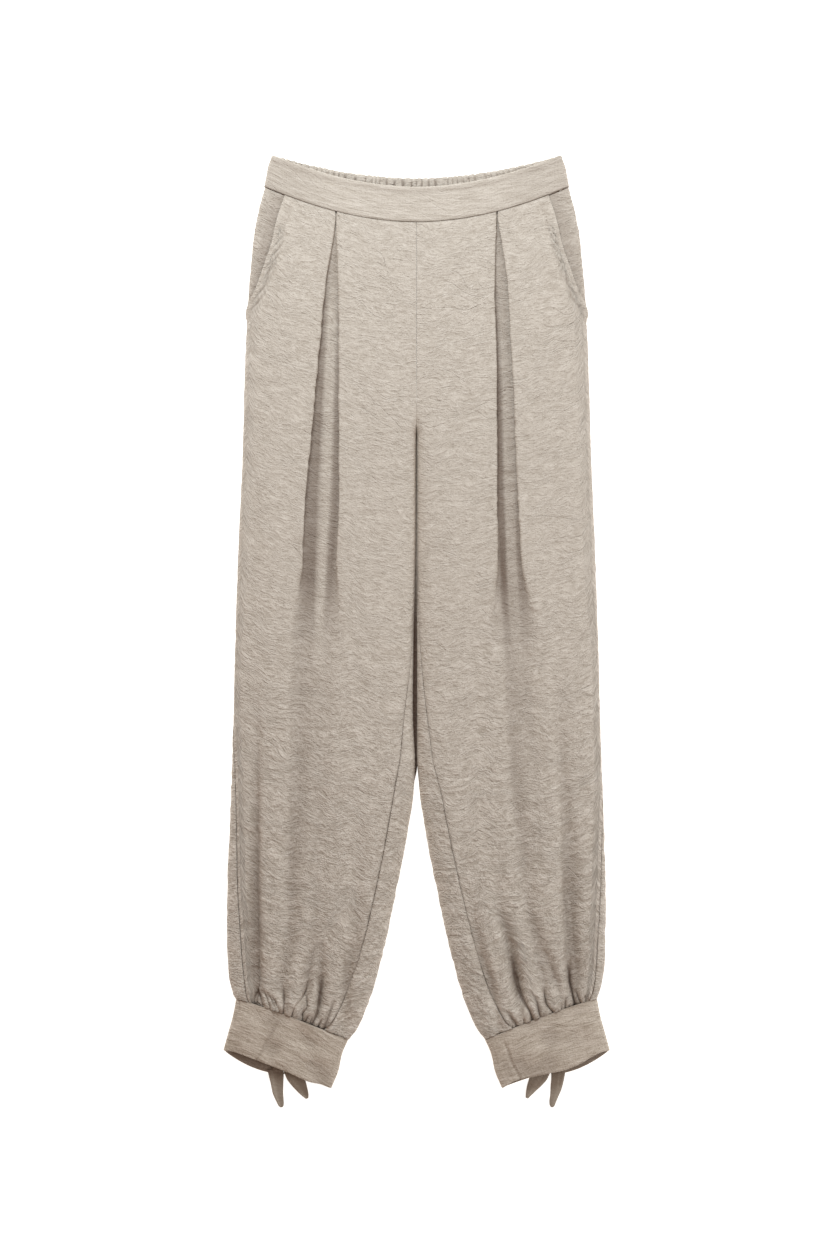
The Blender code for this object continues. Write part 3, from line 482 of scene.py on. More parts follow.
    def patterns(self, tree: bpy.types.NodeTree) -> dict[str, bpy.types.NodeSocket]:
        """Adds the noises and the weave, on the flat cloth with its swirls.

        Each lies on cells of its own length and spacing: turned first, then stretched. A wave
        takes in two yarns, one over and one under.

        Args:
            tree: Where they go.

        Returns:
            Their sockets by name, with the way down the cloth.
        """
        lay = add_node(tree, "ShaderNodeUVMap", {"uv_map": "flat_cloth"}).outputs["UV"]
        wander = add_node(tree, "ShaderNodeTexNoise", {"Scale": 1 / (self.wander_cell * MM), "Detail": 1.0},
                          {"Vector": lay})
        swing = self.swirl * MM
        shift = add_node(tree, "ShaderNodeVectorMath",
                         {"operation": "MULTIPLY_ADD", 1: (swing,) * 3, 2: (-0.5 * swing,) * 3},
                         {0: wander.outputs["Color"]})
        cloth = add_node(tree, "ShaderNodeVectorMath", PLUS, {0: lay, 1: shift.outputs[0]}).outputs[0]
        yarn, along = self.yarn_spacing * YARNS_IN_CELL, WEAVE_LENGTH
        textures = {name: (size, "ShaderNodeTexNoise",
                           {"Scale": 1.0, "Detail": detail, "Roughness": 0.55, "Distortion": distortion})
                    for name, (*size, detail, distortion) in self.layers().items()}
        for name, size, way in (("warp", (yarn, along, 0.0), "X"), ("weft", (along, yarn, 0.0), "Y")):
            textures[name] = (size, "ShaderNodeTexWave",
                              {"wave_type": "BANDS", "bands_direction": way, "Scale": 1.0, "Distortion": 1.2})
        sockets = {"down": add_node(tree, "ShaderNodeSeparateXYZ", None, {"Vector": lay}).outputs["Y"]}
        for name, ((length, spacing, turn), kind, settings) in textures.items():
            turned = add_node(tree, "ShaderNodeMapping", {"Rotation": (0, 0, turn)}, {"Vector": cloth})
            cells = (1 / (length * MM), 1 / (spacing * MM), 1)
            stretched = add_node(tree, "ShaderNodeMapping", {"Scale": cells}, {"Vector": turned.outputs[0]})
            texture = add_node(tree, kind, settings, {"Vector": stretched.outputs[0]})
            sockets[name] = texture.outputs["Fac"]
        return sockets

    def make(self) -> bpy.types.Material:
        """Builds the material.

        Returns:
            A material whose pattern lies on the piece's flat_cloth map.
        """
        material = bpy.data.materials.new(self.name)
        material.use_nodes = True
        tree = material.node_tree
        shader = tree.nodes["Principled BSDF"]
        sockets = self.patterns(tree)
        for name, kind, values in self.steps():
            links = {key: sockets[value] for key, value in values.items() if value in sockets}
            settings = {key: value for key, value in values.items() if key not in links}
            sockets[name] = add_node(tree, kind, settings, links).outputs[0]
        bump = add_node(tree, "ShaderNodeBump", {"Strength": 1.0, "Distance": self.wrinkle_depth * MM},
                        {"Height": sockets["height"]})
        # Trough to crest by the tone: painted highlight and shade from the relief, and the slub's own
        # streaks.
        colour = add_node(tree, "ShaderNodeMix",
                          {"data_type": "RGBA", 6: linear(self.trough), 7: linear(self.crest)},
                          {0: sockets["spread"]})
        # Painted shade: each vertex's share mixes the colour toward the dark brown.
        painted_shade = add_node(tree, "ShaderNodeAttribute", {"attribute_name": "painted_shade"}).outputs["Fac"]
        shaded = add_node(tree, "ShaderNodeMix", {"data_type": "RGBA", 7: linear(self.painted_shade)},
                          {0: painted_shade, 6: colour.outputs[2]})
        tree.links.new(shaded.outputs[2], shader.inputs["Base Color"])
        tree.links.new(bump.outputs[0], shader.inputs["Normal"])
        shader.inputs["Roughness"].default_value = self.roughness
        shader.inputs["Specular IOR Level"].default_value = self.specular
        shader.inputs["Sheen Weight"].default_value = self.sheen
        shader.inputs["Sheen Roughness"].default_value = self.sheen_roughness
        shader.inputs["Sheen Tint"].default_value = linear(self.sheen_tint)
        return material


@dataclass(frozen=True)
class MattPaper:
    """White photo paper, matt rolled stock lit through from below, so that it stays white."""

    name: str = "matt_white_paper"
    colour: str = "#f7f7f6"
    glow: float = 0.85
    roughness: float = 0.95
    fibre_cell: float = 1 / 900.0         # metres
    fibre_height: float = 0.0001          # metres

    def make(self) -> bpy.types.Material:
        """Builds the paper with a faint fibre relief.

        Returns:
            The material, on object coordinates.
        """
        material = bpy.data.materials.new(self.name)
        material.use_nodes = True
        tree = material.node_tree
        shader = tree.nodes["Principled BSDF"]
        place = add_node(tree, "ShaderNodeTexCoord").outputs["Object"]
        fibre = add_node(tree, "ShaderNodeTexNoise", {"Scale": 1 / self.fibre_cell, "Detail": 2.0},
                         {"Vector": place})
        bump = add_node(tree, "ShaderNodeBump", {"Strength": 0.1, "Distance": self.fibre_height},
                        {"Height": fibre.outputs["Fac"]})
        tree.links.new(bump.outputs[0], shader.inputs["Normal"])
        shader.inputs["Base Color"].default_value = linear(self.colour)
        shader.inputs["Roughness"].default_value = self.roughness
        shader.inputs["Emission Color"].default_value = linear(self.colour)
        shader.inputs["Emission Strength"].default_value = self.glow
        return material


# The left leg stands this far off the right one below the crotch.
LEFT_LEG_GAP = ((321, 0.0), (400, 0.2), (500, 1.4), (560, 3.2), (640, 3.8), (700, 1.0), (730, 0.0))
# Level of a row at its side edge, for its level at the inner edge.
ROW_AT_SIDE = ((77.5, 36), (92, 55), (110, 78), (130, 103), (154, 134), (180, 166), (204, 187),
               (234, 226), (266, 262), (295, 294), (321, 321), (834, 834), (876, 872), (916, 902),
               (950, 926), (978, 945), (999, 959), (1017.5, 971))
# Level at the centre for the share of the rows above it: finer over the cuff.
ROW_SPREAD = ((0, 77.5), (0.68, 880), (1, 1017.5))
# How closed a leg is on its inner side: 0 above the crotch, open to the other leg.
ROW_CLOSED = ((234, 0.0), (285, 0.03), (306, 0.25), (323, 1.0))
# The pocket mouth's way in from the side edge, by level, and where it ends.
POCKET = ((36, 26.0), (62, 24.5), (92, 23.5), (116, 19.0), (146, 12.0), (167, 4.5), (186, 0.0))
POCKET_END = 186.0
PUCKER_DEPTH = {Side.LEFT: 1.5, Side.RIGHT: 1.8}   # mm, along the mouth
# Levels where something sets in, and the length over which it does; the pleat bands, wide bands,
# dark slit and slit ends are painted shade.
SETS_IN = {
    "crinkles": (60, 40), "stronger crinkles": (480, 400), "pleat bands": (100, 90),
    "wide bands": (190, 130), "inseam groove": (300, 60), "legs part": (700, 60),
    "dark slit": (440, 120), "slit ends": (705, 30), "pocket roll": (34, 8),
    "pocket puckers": (58, 25), "inseam puckers": (560, 60),
}
# Bells in mm, each as height, middle and half width: the outline's swell where a pocket mouth
# ends, by level; the mouth's roll and the trough behind it, by the way in; and the fullness
# over a cuff, by the way up from its seam.
POCKET_SWELL = ((2.2, 180, 9), (-0.8, 192, 4))
POCKET_ROLL = ((1.5, 3.6, 3.6), (-1.0, 10.5, 2.4))
FULLNESS = ((2.8, 14.0, 13.0), (-1.2, 0.0, 2.6))
# Gathers of the back from the waist and the cuff: their number, how unevenly they lie, the turns
# and start of that, their depth and reach in mm.
BACK_GATHERS = ((17, 0.6, 9, 0, 1.5, 45), (13, 0.5, 11, 1, 1.8, 38))
# How far round its edge each seam shows on the front, as (level, arc in mm).
SIDE_SEAM_SHOWS = {Side.LEFT: ((640, 0.0), (712, 6.0), (821, 12.5), (950, 18.5), (971, 16.0)),
                   Side.RIGHT: ((720, 0.0), (752, 2.5), (870, 9.5), (920, 11.5), (971, 11.5))}
INSEAM_SHOWS = {
    Side.LEFT: ((480, 0.0), (567, 4.0), (657, 14.0), (740, 24.0), (900, 26.0), (1018, 30.0)),
    Side.RIGHT: ((480, 0.0), (593, 8.0), (693, 20.0), (740, 26.5), (914, 31.0), (1018, 34.0)),
}
# The inverted box pleat: down, outer fold, inner fold, overlap of its layers, their spacing.
PLEAT = {
    Side.LEFT: ((66, 93.8, 91.6, 9.6, 2.1), (155, 106.7, 88.9, 6.0, 2.3), (213, 112.0, 88.7, 5.2, 2.6),
                (254, 115.9, 88.6, 4.2, 2.8), (330, 122.2, 88.6, 3.2, 3.0), (397, 128.2, 88.9, 2.4, 3.0),
                (470, 131.0, 92.0, 2.4, 2.8), (590, 134.0, 97.0, 2.4, 2.2)),
    Side.RIGHT: ((66, 93.6, 91.4, 9.6, 2.1), (155, 105.9, 88.9, 6.4, 2.3), (213, 108.5, 90.6, 6.0, 2.6),
                 (254, 111.5, 91.0, 5.4, 2.8), (330, 114.5, 91.2, 4.4, 3.0), (397, 117.5, 91.2, 3.2, 3.0),
                 (470, 121.5, 92.0, 2.4, 2.9), (590, 130.0, 96.0, 2.4, 2.2)),
}
# Painted shade of the pleat's recess: ground, dark edge beside the outer fold and its width, and
# the same beside the inner fold, as shares.
PLEAT_BANDS = {Side.LEFT: (0.04, 0.53, 0.42, 0.50, 0.26), Side.RIGHT: (0.20, 0.30, 0.16, 0.50, 0.38)}
PLEAT_SHARP = 370.0      # above this level the pleat is truly folded
PLEAT_STEP = 462.0       # here its fold edges have opened to upright steps
PLEAT_SOFT = 590.0       # below this one it is only a soft valley

# Painted shadows beside crisp edges of the long folds, on their soft troughs: rows of down, out and
# shade, and the shade's reach in mm, toward the side, or below zero toward the middle.
EDGE_BLUR = 1.6          # mm over which the painted shade at a fold edge sets in
PAINTED_FOLD_SHADES = {
    Side.LEFT: (
        (((600, 179.5, 0.0), (700, 179.2, 0.07), (800, 179.5, 0.13), (880, 179.5, 0.20), (945, 180, 0.26),
          (975, 180, 0.05)), 11.0),
        (((500, 140, 0.0), (560, 143.5, 0.09), (700, 146.5, 0.09), (850, 147, 0.09), (930, 147, 0.0)), -16.0),
        (((520, 112, 0.0), (600, 111, 0.06), (800, 110, 0.06), (930, 110, 0.0)), 14.0),
    ),
    Side.RIGHT: (
        (((470, 97, 0.0), (512, 99, 0.08), (629, 102.6, 0.09), (688, 106.4, 0.09), (776, 112.3, 0.07),
          (850, 120, 0.0)), 22.0),
        (((470, 124, 0.0), (512, 128.5, 0.07), (600, 130, 0.07), (660, 135.8, 0.07), (760, 143, 0.06),
          (830, 147, 0.0)), -16.0),
        (((560, 163, 0.0), (640, 164.4, 0.06), (760, 165.5, 0.09), (835, 167, 0.13), (890, 172.6, 0.18),
          (940, 177, 0.20), (968, 179, 0.05)), 13.0),
    ),
}

# Long folds of each leg: down, out, depth, width toward the side, width toward the middle.
FOLDS = {
    Side.LEFT: (
        ((430, 129, 0, 14, 14), (500, 128, 4.8, 9, 15), (560, 132, 4.2, 10, 16), (640, 134, 3.4, 11, 16),
         (730, 136, 3.0, 11, 15), (810, 144, 3.6, 10, 15), (900, 146, 3.0, 9, 12), (950, 155, 3.0, 8, 8),
         (990, 158, 0, 8, 8)),
        ((430, 91, 0, 8, 9), (500, 99, 3.0, 9, 8), (600, 104, 2.0, 10, 9), (700, 109, 1.5, 10, 10),
         (820, 114, 1.4, 9, 9), (900, 118, 2.0, 8, 8), (945, 126, 4.2, 7, 7), (980, 130, 2.5, 6, 6),
         (1006, 132, 1.0, 6, 6)),
        ((560, 184, 0, 9, 6), (680, 183, 1.6, 9, 5), (765, 183, 3.4, 10, 4), (840, 183, 4.8, 12, 4.5),
         (900, 182, 5.6, 12, 4.5), (945, 182, 5.8, 10, 5), (968, 182, 4.0, 9, 6), (985, 182, 2.0, 9, 8)),
        ((740, 60, 0, 10, 10), (820, 67, 1.6, 9, 9), (890, 70, 2.2, 8, 8), (945, 80, 4.0, 7, 7),
         (990, 84, 3.0, 6, 6), (1018, 86, 1.0, 6, 6)),
        ((900, 108, 0, 6, 6), (945, 110, 3.8, 6, 6), (985, 112, 2.6, 6, 6), (1008, 114, 1.0, 6, 6)),
        ((200, 66, 0, 16, 16), (300, 67, 1.0, 16, 16), (400, 57, 0.8, 16, 16), (520, 52, 0, 16, 16)),
        ((320, 190, 0, 10, 10), (450, 187, 1.0, 10, 10), (560, 188, 0, 10, 10)),
    ),
    Side.RIGHT: (
        ((430, 93, 0, 10, 10), (500, 100, 4.4, 14, 8), (560, 104, 3.8, 15, 8), (630, 109, 3.4, 15, 9),
         (720, 112, 2.8, 14, 9), (800, 122, 3.0, 13, 10), (860, 128, 2.4, 12, 9), (905, 135, 3.0, 10, 8),
         (950, 146, 3.8, 8, 7), (980, 150, 2.0, 6, 6), (1000, 152, 0.5, 6, 6)),
        ((440, 120, 0, 8, 9), (520, 124, 2.0, 9, 9), (640, 130, 1.8, 9, 9), (720, 140, 1.2, 9, 9),
         (820, 144, 0, 9, 9)),
        ((560, 160, 0, 9, 9), (640, 163, 1.3, 9, 7), (760, 171, 2.6, 10, 6), (820, 174, 4.0, 12, 8),
         (860, 174, 6.0, 12, 8), (905, 175, 7.2, 10, 5), (945, 178, 6.5, 11, 8), (968, 179, 3.5, 9, 8),
         (985, 180, 1.5, 9, 8)),
        ((780, 91, 0, 9, 9), (860, 95, 2.4, 8, 8), (905, 106, 5.0, 7, 7), (950, 115, 6.2, 7, 7),
         (985, 120, 3.0, 6, 6), (1006, 122, 1.0, 6, 6)),
        ((840, 60, 0, 8, 8), (905, 70, 3.2, 7, 7), (950, 84, 4.6, 6, 7), (995, 93, 2.5, 6, 6),
         (1018, 96, 1.0, 6, 6)),
        ((200, 138, 0, 14, 14), (300, 142, 1.1, 14, 14), (430, 152, 1.0, 14, 14), (520, 158, 0, 14, 14)),
        ((840, 120, 0, 7, 7), (905, 143, 1.6, 7, 7), (950, 160, 3.4, 6, 6), (972, 166, 2.0, 6, 6),
         (990, 168, 0.5, 6, 6)),
    ),
}
# Gathers above each cuff: path as (down, out) points from its upper end, depth, half width.
GATHERS = {
    Side.LEFT: (
        (((953, 180), (971, 187)), 1.3, 1.7), (((956, 181), (973, 183)), 1.1, 1.5),
        (((956, 183), (977.6, 176.5)), 2.0, 1.4), (((955, 177.2), (979, 168.3)), 2.2, 1.4),
        (((957, 173.5), (981.3, 162.4)), 2.0, 1.3), (((961, 168.3), (983, 158)), 2.0, 1.4),
        (((950, 153), (973, 152), (987, 153.5)), 2.8, 2.3),
        (((940, 122), (956, 125.5), (967, 130.5), (981, 141), (992, 143.5)), 2.2, 1.9),
        (((958, 126), (979, 125.5), (987, 131)), 2.0, 1.8), (((985, 122), (999, 128.5)), 1.6, 1.6),
        (((986, 118), (1000, 124)), 1.4, 1.5),
        (((930, 108), (950, 109), (967, 111), (987, 114.5), (1000, 120.5)), 2.6, 2.6),
        (((990, 107), (1002, 113)), 1.4, 1.6), (((960, 93), (981, 98), (1005, 106)), 1.8, 1.7),
        (((1000, 84), (1010, 89.5)), 1.3, 1.7), (((955, 196), (975, 199)), 0.8, 1.6),
        (((962, 147), (989, 148.5)), 0.9, 1.6), (((975, 101), (1006, 108)), 0.9, 1.5),
    ),
    Side.RIGHT: (
        (((978, 100), (1006, 118)), 2.2, 2.6),
        (((905, 108), (926, 110.5), (953, 116), (969, 121.5), (991, 132), (997, 132.5), (1003, 130)),
         3.4, 2.6),
        (((958, 127), (972, 137.5), (991, 142), (998, 145)), 2.6, 2.2),
        (((950, 145), (976, 149), (985, 156), (994, 159.5)), 3.0, 2.1),
        (((964, 172), (986, 170)), 1.7, 1.8), (((920, 174), (951, 176.5), (976, 182)), 3.4, 2.6),
        (((957, 182.5), (974, 188)), 2.3, 1.7), (((984, 144), (999, 151)), 1.7, 1.6),
        (((986, 163), (993, 164)), 1.2, 1.4), (((976, 175), (984, 176)), 1.3, 1.4),
        (((985, 136), (1001, 136)), 1.3, 1.5), (((990, 124), (1003, 124)), 1.2, 1.5),
        (((996, 88), (1010, 93)), 1.2, 1.7), (((963, 193), (973, 194)), 1.1, 1.5),
        (((992, 109), (1005, 111)), 1.0, 1.5), (((972, 167), (988, 166)), 1.0, 1.4),
    ),
}


def trough(path: Points, down: np.ndarray, out: np.ndarray) -> np.ndarray:
    """Depth of one long fold: depth(down) · exp(−(offset / width)²), widths per side.

    Args:
        path: Rows of down, out, depth, width toward the side, width toward the middle.
        down: Levels of the points.
        out: Places across.

    Returns:
        Depth in mm at each point.
    """
    depth, outer, inner = ([(row[0], row[k]) for row in path] for k in (2, 3, 4))
    inside = (down > path[0][0]) & (down < path[-1][0])
    offset = out - smooth_curve(path, down)
    width = np.where(offset > 0, smooth_curve(outer, down), smooth_curve(inner, down))
    return smooth_curve(depth, down) * inside * bell(offset / width)


def painted_fold_shade(path: Points, reach: float, down: np.ndarray, out: np.ndarray) -> np.ndarray:
    """Painted shade behind a crisp fold edge: shade(down) · step · exp(−way past the edge / reach).

    Args:
        path: Rows of down, out and shade.
        reach: Its reach toward the side, or below zero toward the middle.
        down: Levels of the points.
        out: Places across.

    Returns:
        Shade at each point.
    """
    past = (out - smooth_curve(path, down)) * np.sign(reach)
    shade = np.interp(down, [row[0] for row in path], [row[2] for row in path])
    return shade * ease(past / EDGE_BLUR + 0.5) * np.exp(-np.maximum(past, 0) / abs(reach))


def gather(path: Points, depth: float, width: float, down: np.ndarray, out: np.ndarray) -> np.ndarray:
    """Depth of a narrow gather that deepens toward the cuff: depth · ease · exp(−(offset/width)²).

    Args:
        path: (down, out) points from its upper end to the seam.
        depth: Its depth at the seam.
        width: Its half width.
        down: Levels of the points.
        out: Places across.

    Returns:
        Depth in mm at each point.
    """
    start, foot = path[0][0], path[-1][0]
    offset = out - smooth_curve(path, down)
    wide = width * (1.5 - 0.5 * ease((down - start) / (foot - start)))
    return depth * ease((down - start) / (0.6 * (foot - start))) * bell(offset / wide)


def edge_path(arc: np.ndarray, closed: np.ndarray) -> tuple[np.ndarray, np.ndarray]:
    """Way in from an edge and height about its middle, for an arc from that middle.

    A quarter circle, R(1 − cos t) in and R sin t up, then straight on; an open edge is
    straight all along.

    Args:
        arc: Arc from the edge's middle, below zero on the underside.
        closed: 1 for a folded edge, 0 for an open one.

    Returns:
        Way in and height.
    """
    length = np.abs(arc)
    turn = np.clip(length / EDGE_RADIUS, 0, math.pi / 2)
    past = np.maximum(length - EDGE_RADIUS * math.pi / 2, 0)
    inward = EDGE_RADIUS * (1 - np.cos(turn)) + past
    height = EDGE_RADIUS * np.sin(turn)
    inward = length + (inward - length) * closed
    height = EDGE_RADIUS + (height - EDGE_RADIUS) * closed
    return inward, np.where(arc < 0, -height, height)


def arc_at(inward: np.ndarray, closed: np.ndarray = 1.0) -> np.ndarray:
    """The arc that lies this far in from an edge, past its rounding."""
    return inward + EDGE_EXTRA * closed


def crowd(count: int, start: np.ndarray, stop: np.ndarray) -> np.ndarray:
    """Count + 1 even columns from start to stop, for each row."""
    return start + (stop - start) * np.linspace(0, 1, count + 1)


def pocket_depth(down: np.ndarray) -> np.ndarray:
    """How far in from the side edge the pocket mouth lies at a level."""
    return smooth_curve(POCKET, down) * (down < POCKET_END)


def sets_in(name: str, down: np.ndarray) -> np.ndarray:
    """Smooth step from 0 to 1 at the levels of this name in the table."""
    start, length = SETS_IN[name]
    return ease((down - start) / length)


def end_rows(rows: int) -> np.ndarray:
    """1 at the first row, −1 at the last and 0 between, as a column of one value a row."""
    row = np.arange(rows)[:, None]
    return 1.0 * (row == 0) - (row == rows - 1)


@dataclass
class LegForm:
    """Where the cloth of one leg lies: rows across it, its edges, crown and folds."""

    side: Side
    rows: int
    rise: float = 0.0                     # the back's waist seam lies this much higher
    rise_ends: float = 204.0              # level where that rise has faded out
    rise_over: float = 126.5
    slack: float = 0.05                   # way from the centre line that stays free
    touch: tuple[float, float, float, float] = (285.0, 20.0, 740.0, 40.0)  # where the feet lean
    sags_above: float = 500.0             # rows below this level slant instead of sagging
    crown_opens: tuple[float, float] = (240.0, 230.0)   # level and length of its inner slope
    deeper: tuple[float, float, float] = (0.85, 500.0, 260.0)  # folds gain this share, from, over
    fold_fades: tuple[float, float] = (12.0, 10.0)      # at the side edge and the inner edge
    fade_in: float = 3.0                  # mm from an inner edge where the swell starts
    calm_width: float = 4.0               # mm beside the centre line without crinkles
    # Painted shade at the slit between the legs.
    slit_shade: float = 0.9

    def __post_init__(self) -> None:
        """Works out each row's levels and edges, as columns of one value a row."""
        centre = smooth_curve(ROW_SPREAD, np.linspace(0, 1, self.rows))[:, None]
        self.at_side = smooth_curve(ROW_AT_SIDE, centre)
        self.closed = smooth_curve(ROW_CLOSED, centre)
        self.at_centre = centre - self.rise * np.clip((self.rise_ends - centre) / self.rise_over, 0, 1)
        swell = bells(POCKET_SWELL, self.at_side)
        self.outer = smooth_curve(OUTER_EDGE, self.at_side) - WALL / 2 + swell
        gap = smooth_curve(LEFT_LEG_GAP, self.at_centre) * (self.side is Side.LEFT)
        slack = self.slack + WALL / 2 * self.closed / np.hypot(self.closed, 1 - self.closed)
        inner = smooth_curve(INNER_EDGE, self.at_centre) + gap + WALL / 2
        self.inner = slack + np.maximum(inner - slack, 0) * ease((self.closed - 0.4) / 0.6)
        top, top_fade, foot, foot_fade = self.touch
        touches = ease((foot - self.at_centre) / foot_fade) * ease((self.at_centre - top) / top_fade)
        self.lean = (self.inner + EDGE_RADIUS + 1.0) * touches * (self.side is Side.LEFT)
        self.middle = 0.5 * (self.at_side + self.at_centre)

    def level(self, out: np.ndarray) -> np.ndarray:
        """Level at a place across a row: it sags to the waist's centre and slants to the cuff.

        It is side level + (centre level − side level) · bend, where bend is 1 − (1 − share)^1.9
        above and share^1.2 below, with the share of the way in from the side.

        Args:
            out: Places across, rows × columns.

        Returns:
            Levels in mm down.
        """
        share = np.clip((self.outer - out) / (self.outer - self.inner), 0, 1)
        bend = np.where(self.middle < self.sags_above, 1 - (1 - share) ** SAG, share ** SLANT)
        return self.at_side + (self.at_centre - self.at_side) * bend

    def crown(self, down: np.ndarray, out: np.ndarray) -> np.ndarray:
        """Rise c(1 − exp(−way in from the side / 26)), falling to closed inner edges in the same way.

        Args:
            down: Levels of the points.
            out: Places across.

        Returns:
            Heights in mm.
        """
        to_side = np.maximum(self.outer - out, 0)
        to_inner = np.maximum(out - self.inner, 0)
        crown = smooth_curve(CROWN, down) * (1 - np.exp(-to_side / CROWN_OUTER))
        start, length = self.crown_opens
        return crown * (1 - ease((self.at_centre - start) / length) * np.exp(-to_inner / CROWN_INNER))

    def fall(self, down: np.ndarray, out: np.ndarray) -> np.ndarray:
        """Depth of the long folds, fading at the edges and never below half the edges' height.

        Args:
            down: Levels of the points.
            out: Places across.

        Returns:
            Depths in mm.
        """
        gain, start, length = self.deeper
        at_side, at_inner = self.fold_fades
        fall = sum(trough(path, down, out) for path in FOLDS[self.side])
        fall *= 1 + gain * ease((down - start) / length)
        fall *= ease((self.outer - out) / at_side)
        fall *= 1 - self.closed * (1 - ease((out - self.inner) / at_inner))
        return np.minimum(fall, self.crown(down, out) + EDGE_RADIUS * 0.5)

    def swell(self, down: np.ndarray, out: np.ndarray) -> np.ndarray:
        """Height of the upper cloth above its folded edges: the crown less the folds."""
        return self.crown(down, out) - self.fall(down, out)

    def from_side(self, arc: np.ndarray) -> tuple[np.ndarray, np.ndarray]:
        """Follows the cloth in from the side edge.

        Args:
            arc: Arcs from the edge's middle, below zero on the underside.

        Returns:
            Places across and heights.
        """
        inward, about = edge_path(arc, np.ones_like(self.outer))
        out = self.outer - inward
        lift = np.where(arc > 0, self.swell(self.level(out), out), 0)
        return out, WALL / 2 + EDGE_RADIUS + about + lift

    def from_inner(self, arc: np.ndarray) -> tuple[np.ndarray, np.ndarray]:
        """Follows the cloth out from the inner edge.

        The left leg's foot leans under the right one: lean · (way down)⁵.

        Args:
            arc: Arcs from the edge's middle, below zero on the underside.

        Returns:
            Places across and heights.
        """
        inward, about = edge_path(arc, self.closed)
        way_down = (EDGE_RADIUS - about) / (EDGE_RADIUS * np.maximum(self.closed, 0.01)) - 1
        out = self.inner + inward - self.lean * np.clip(way_down, 0, 1) ** 5
        fade = 1 - self.closed * np.exp(-np.maximum(inward, 0) / self.fade_in)
        lift = np.where(arc >= 0, self.swell(self.level(out), out) * fade, 0)
        return out, WALL / 2 + EDGE_RADIUS + about + lift

    def calm(self, out: np.ndarray) -> np.ndarray:
        """1 over most of the leg and 0 at the centre, where the two legs touch."""
        return 1 - bell((out - self.inner) / self.calm_width) * (1 - sets_in("legs part", self.at_centre))

    def slit(self, out: np.ndarray, down: np.ndarray, width: float, least: float) -> np.ndarray:
        """Painted shade of the slit between the legs: exp(−way from it / width), paler near the crotch.

        Args:
            out: Places across.
            down: Levels of the points.
            width: How far the shade reaches, in mm.
            least: Its share near the crotch.

        Returns:
            Shade at each point.
        """
        shade = self.slit_shade * np.exp(-np.maximum(out - self.inner, 0) / width) * self.closed
        above_its_end = 1 - sets_in("slit ends", down)
        below_crotch = least + (1 - least) * sets_in("dark slit", down)
        return shade * above_its_end * below_crotch

    def place(self, out: np.ndarray, down: np.ndarray, height: np.ndarray) -> np.ndarray:
        """Points in mm: x = side · out, y = top − down, z = height."""
        return np.stack([self.side.value * out, TOP - down, height], axis=2)

    def seam_level(self, out: np.ndarray) -> np.ndarray:
        """Level of the cuff seam: share^1.2 of its way from the side to the inner end.

        Args:
            out: Places across.

        Returns:
            Levels in mm down.
        """
        at_side, side_out, at_inner, inner_out = CUFF[0]
        share = np.clip((side_out - WALL / 2 - out) / (side_out - inner_out - WALL), 0, 1)
        return at_side + (at_inner - at_side) * share ** SLANT


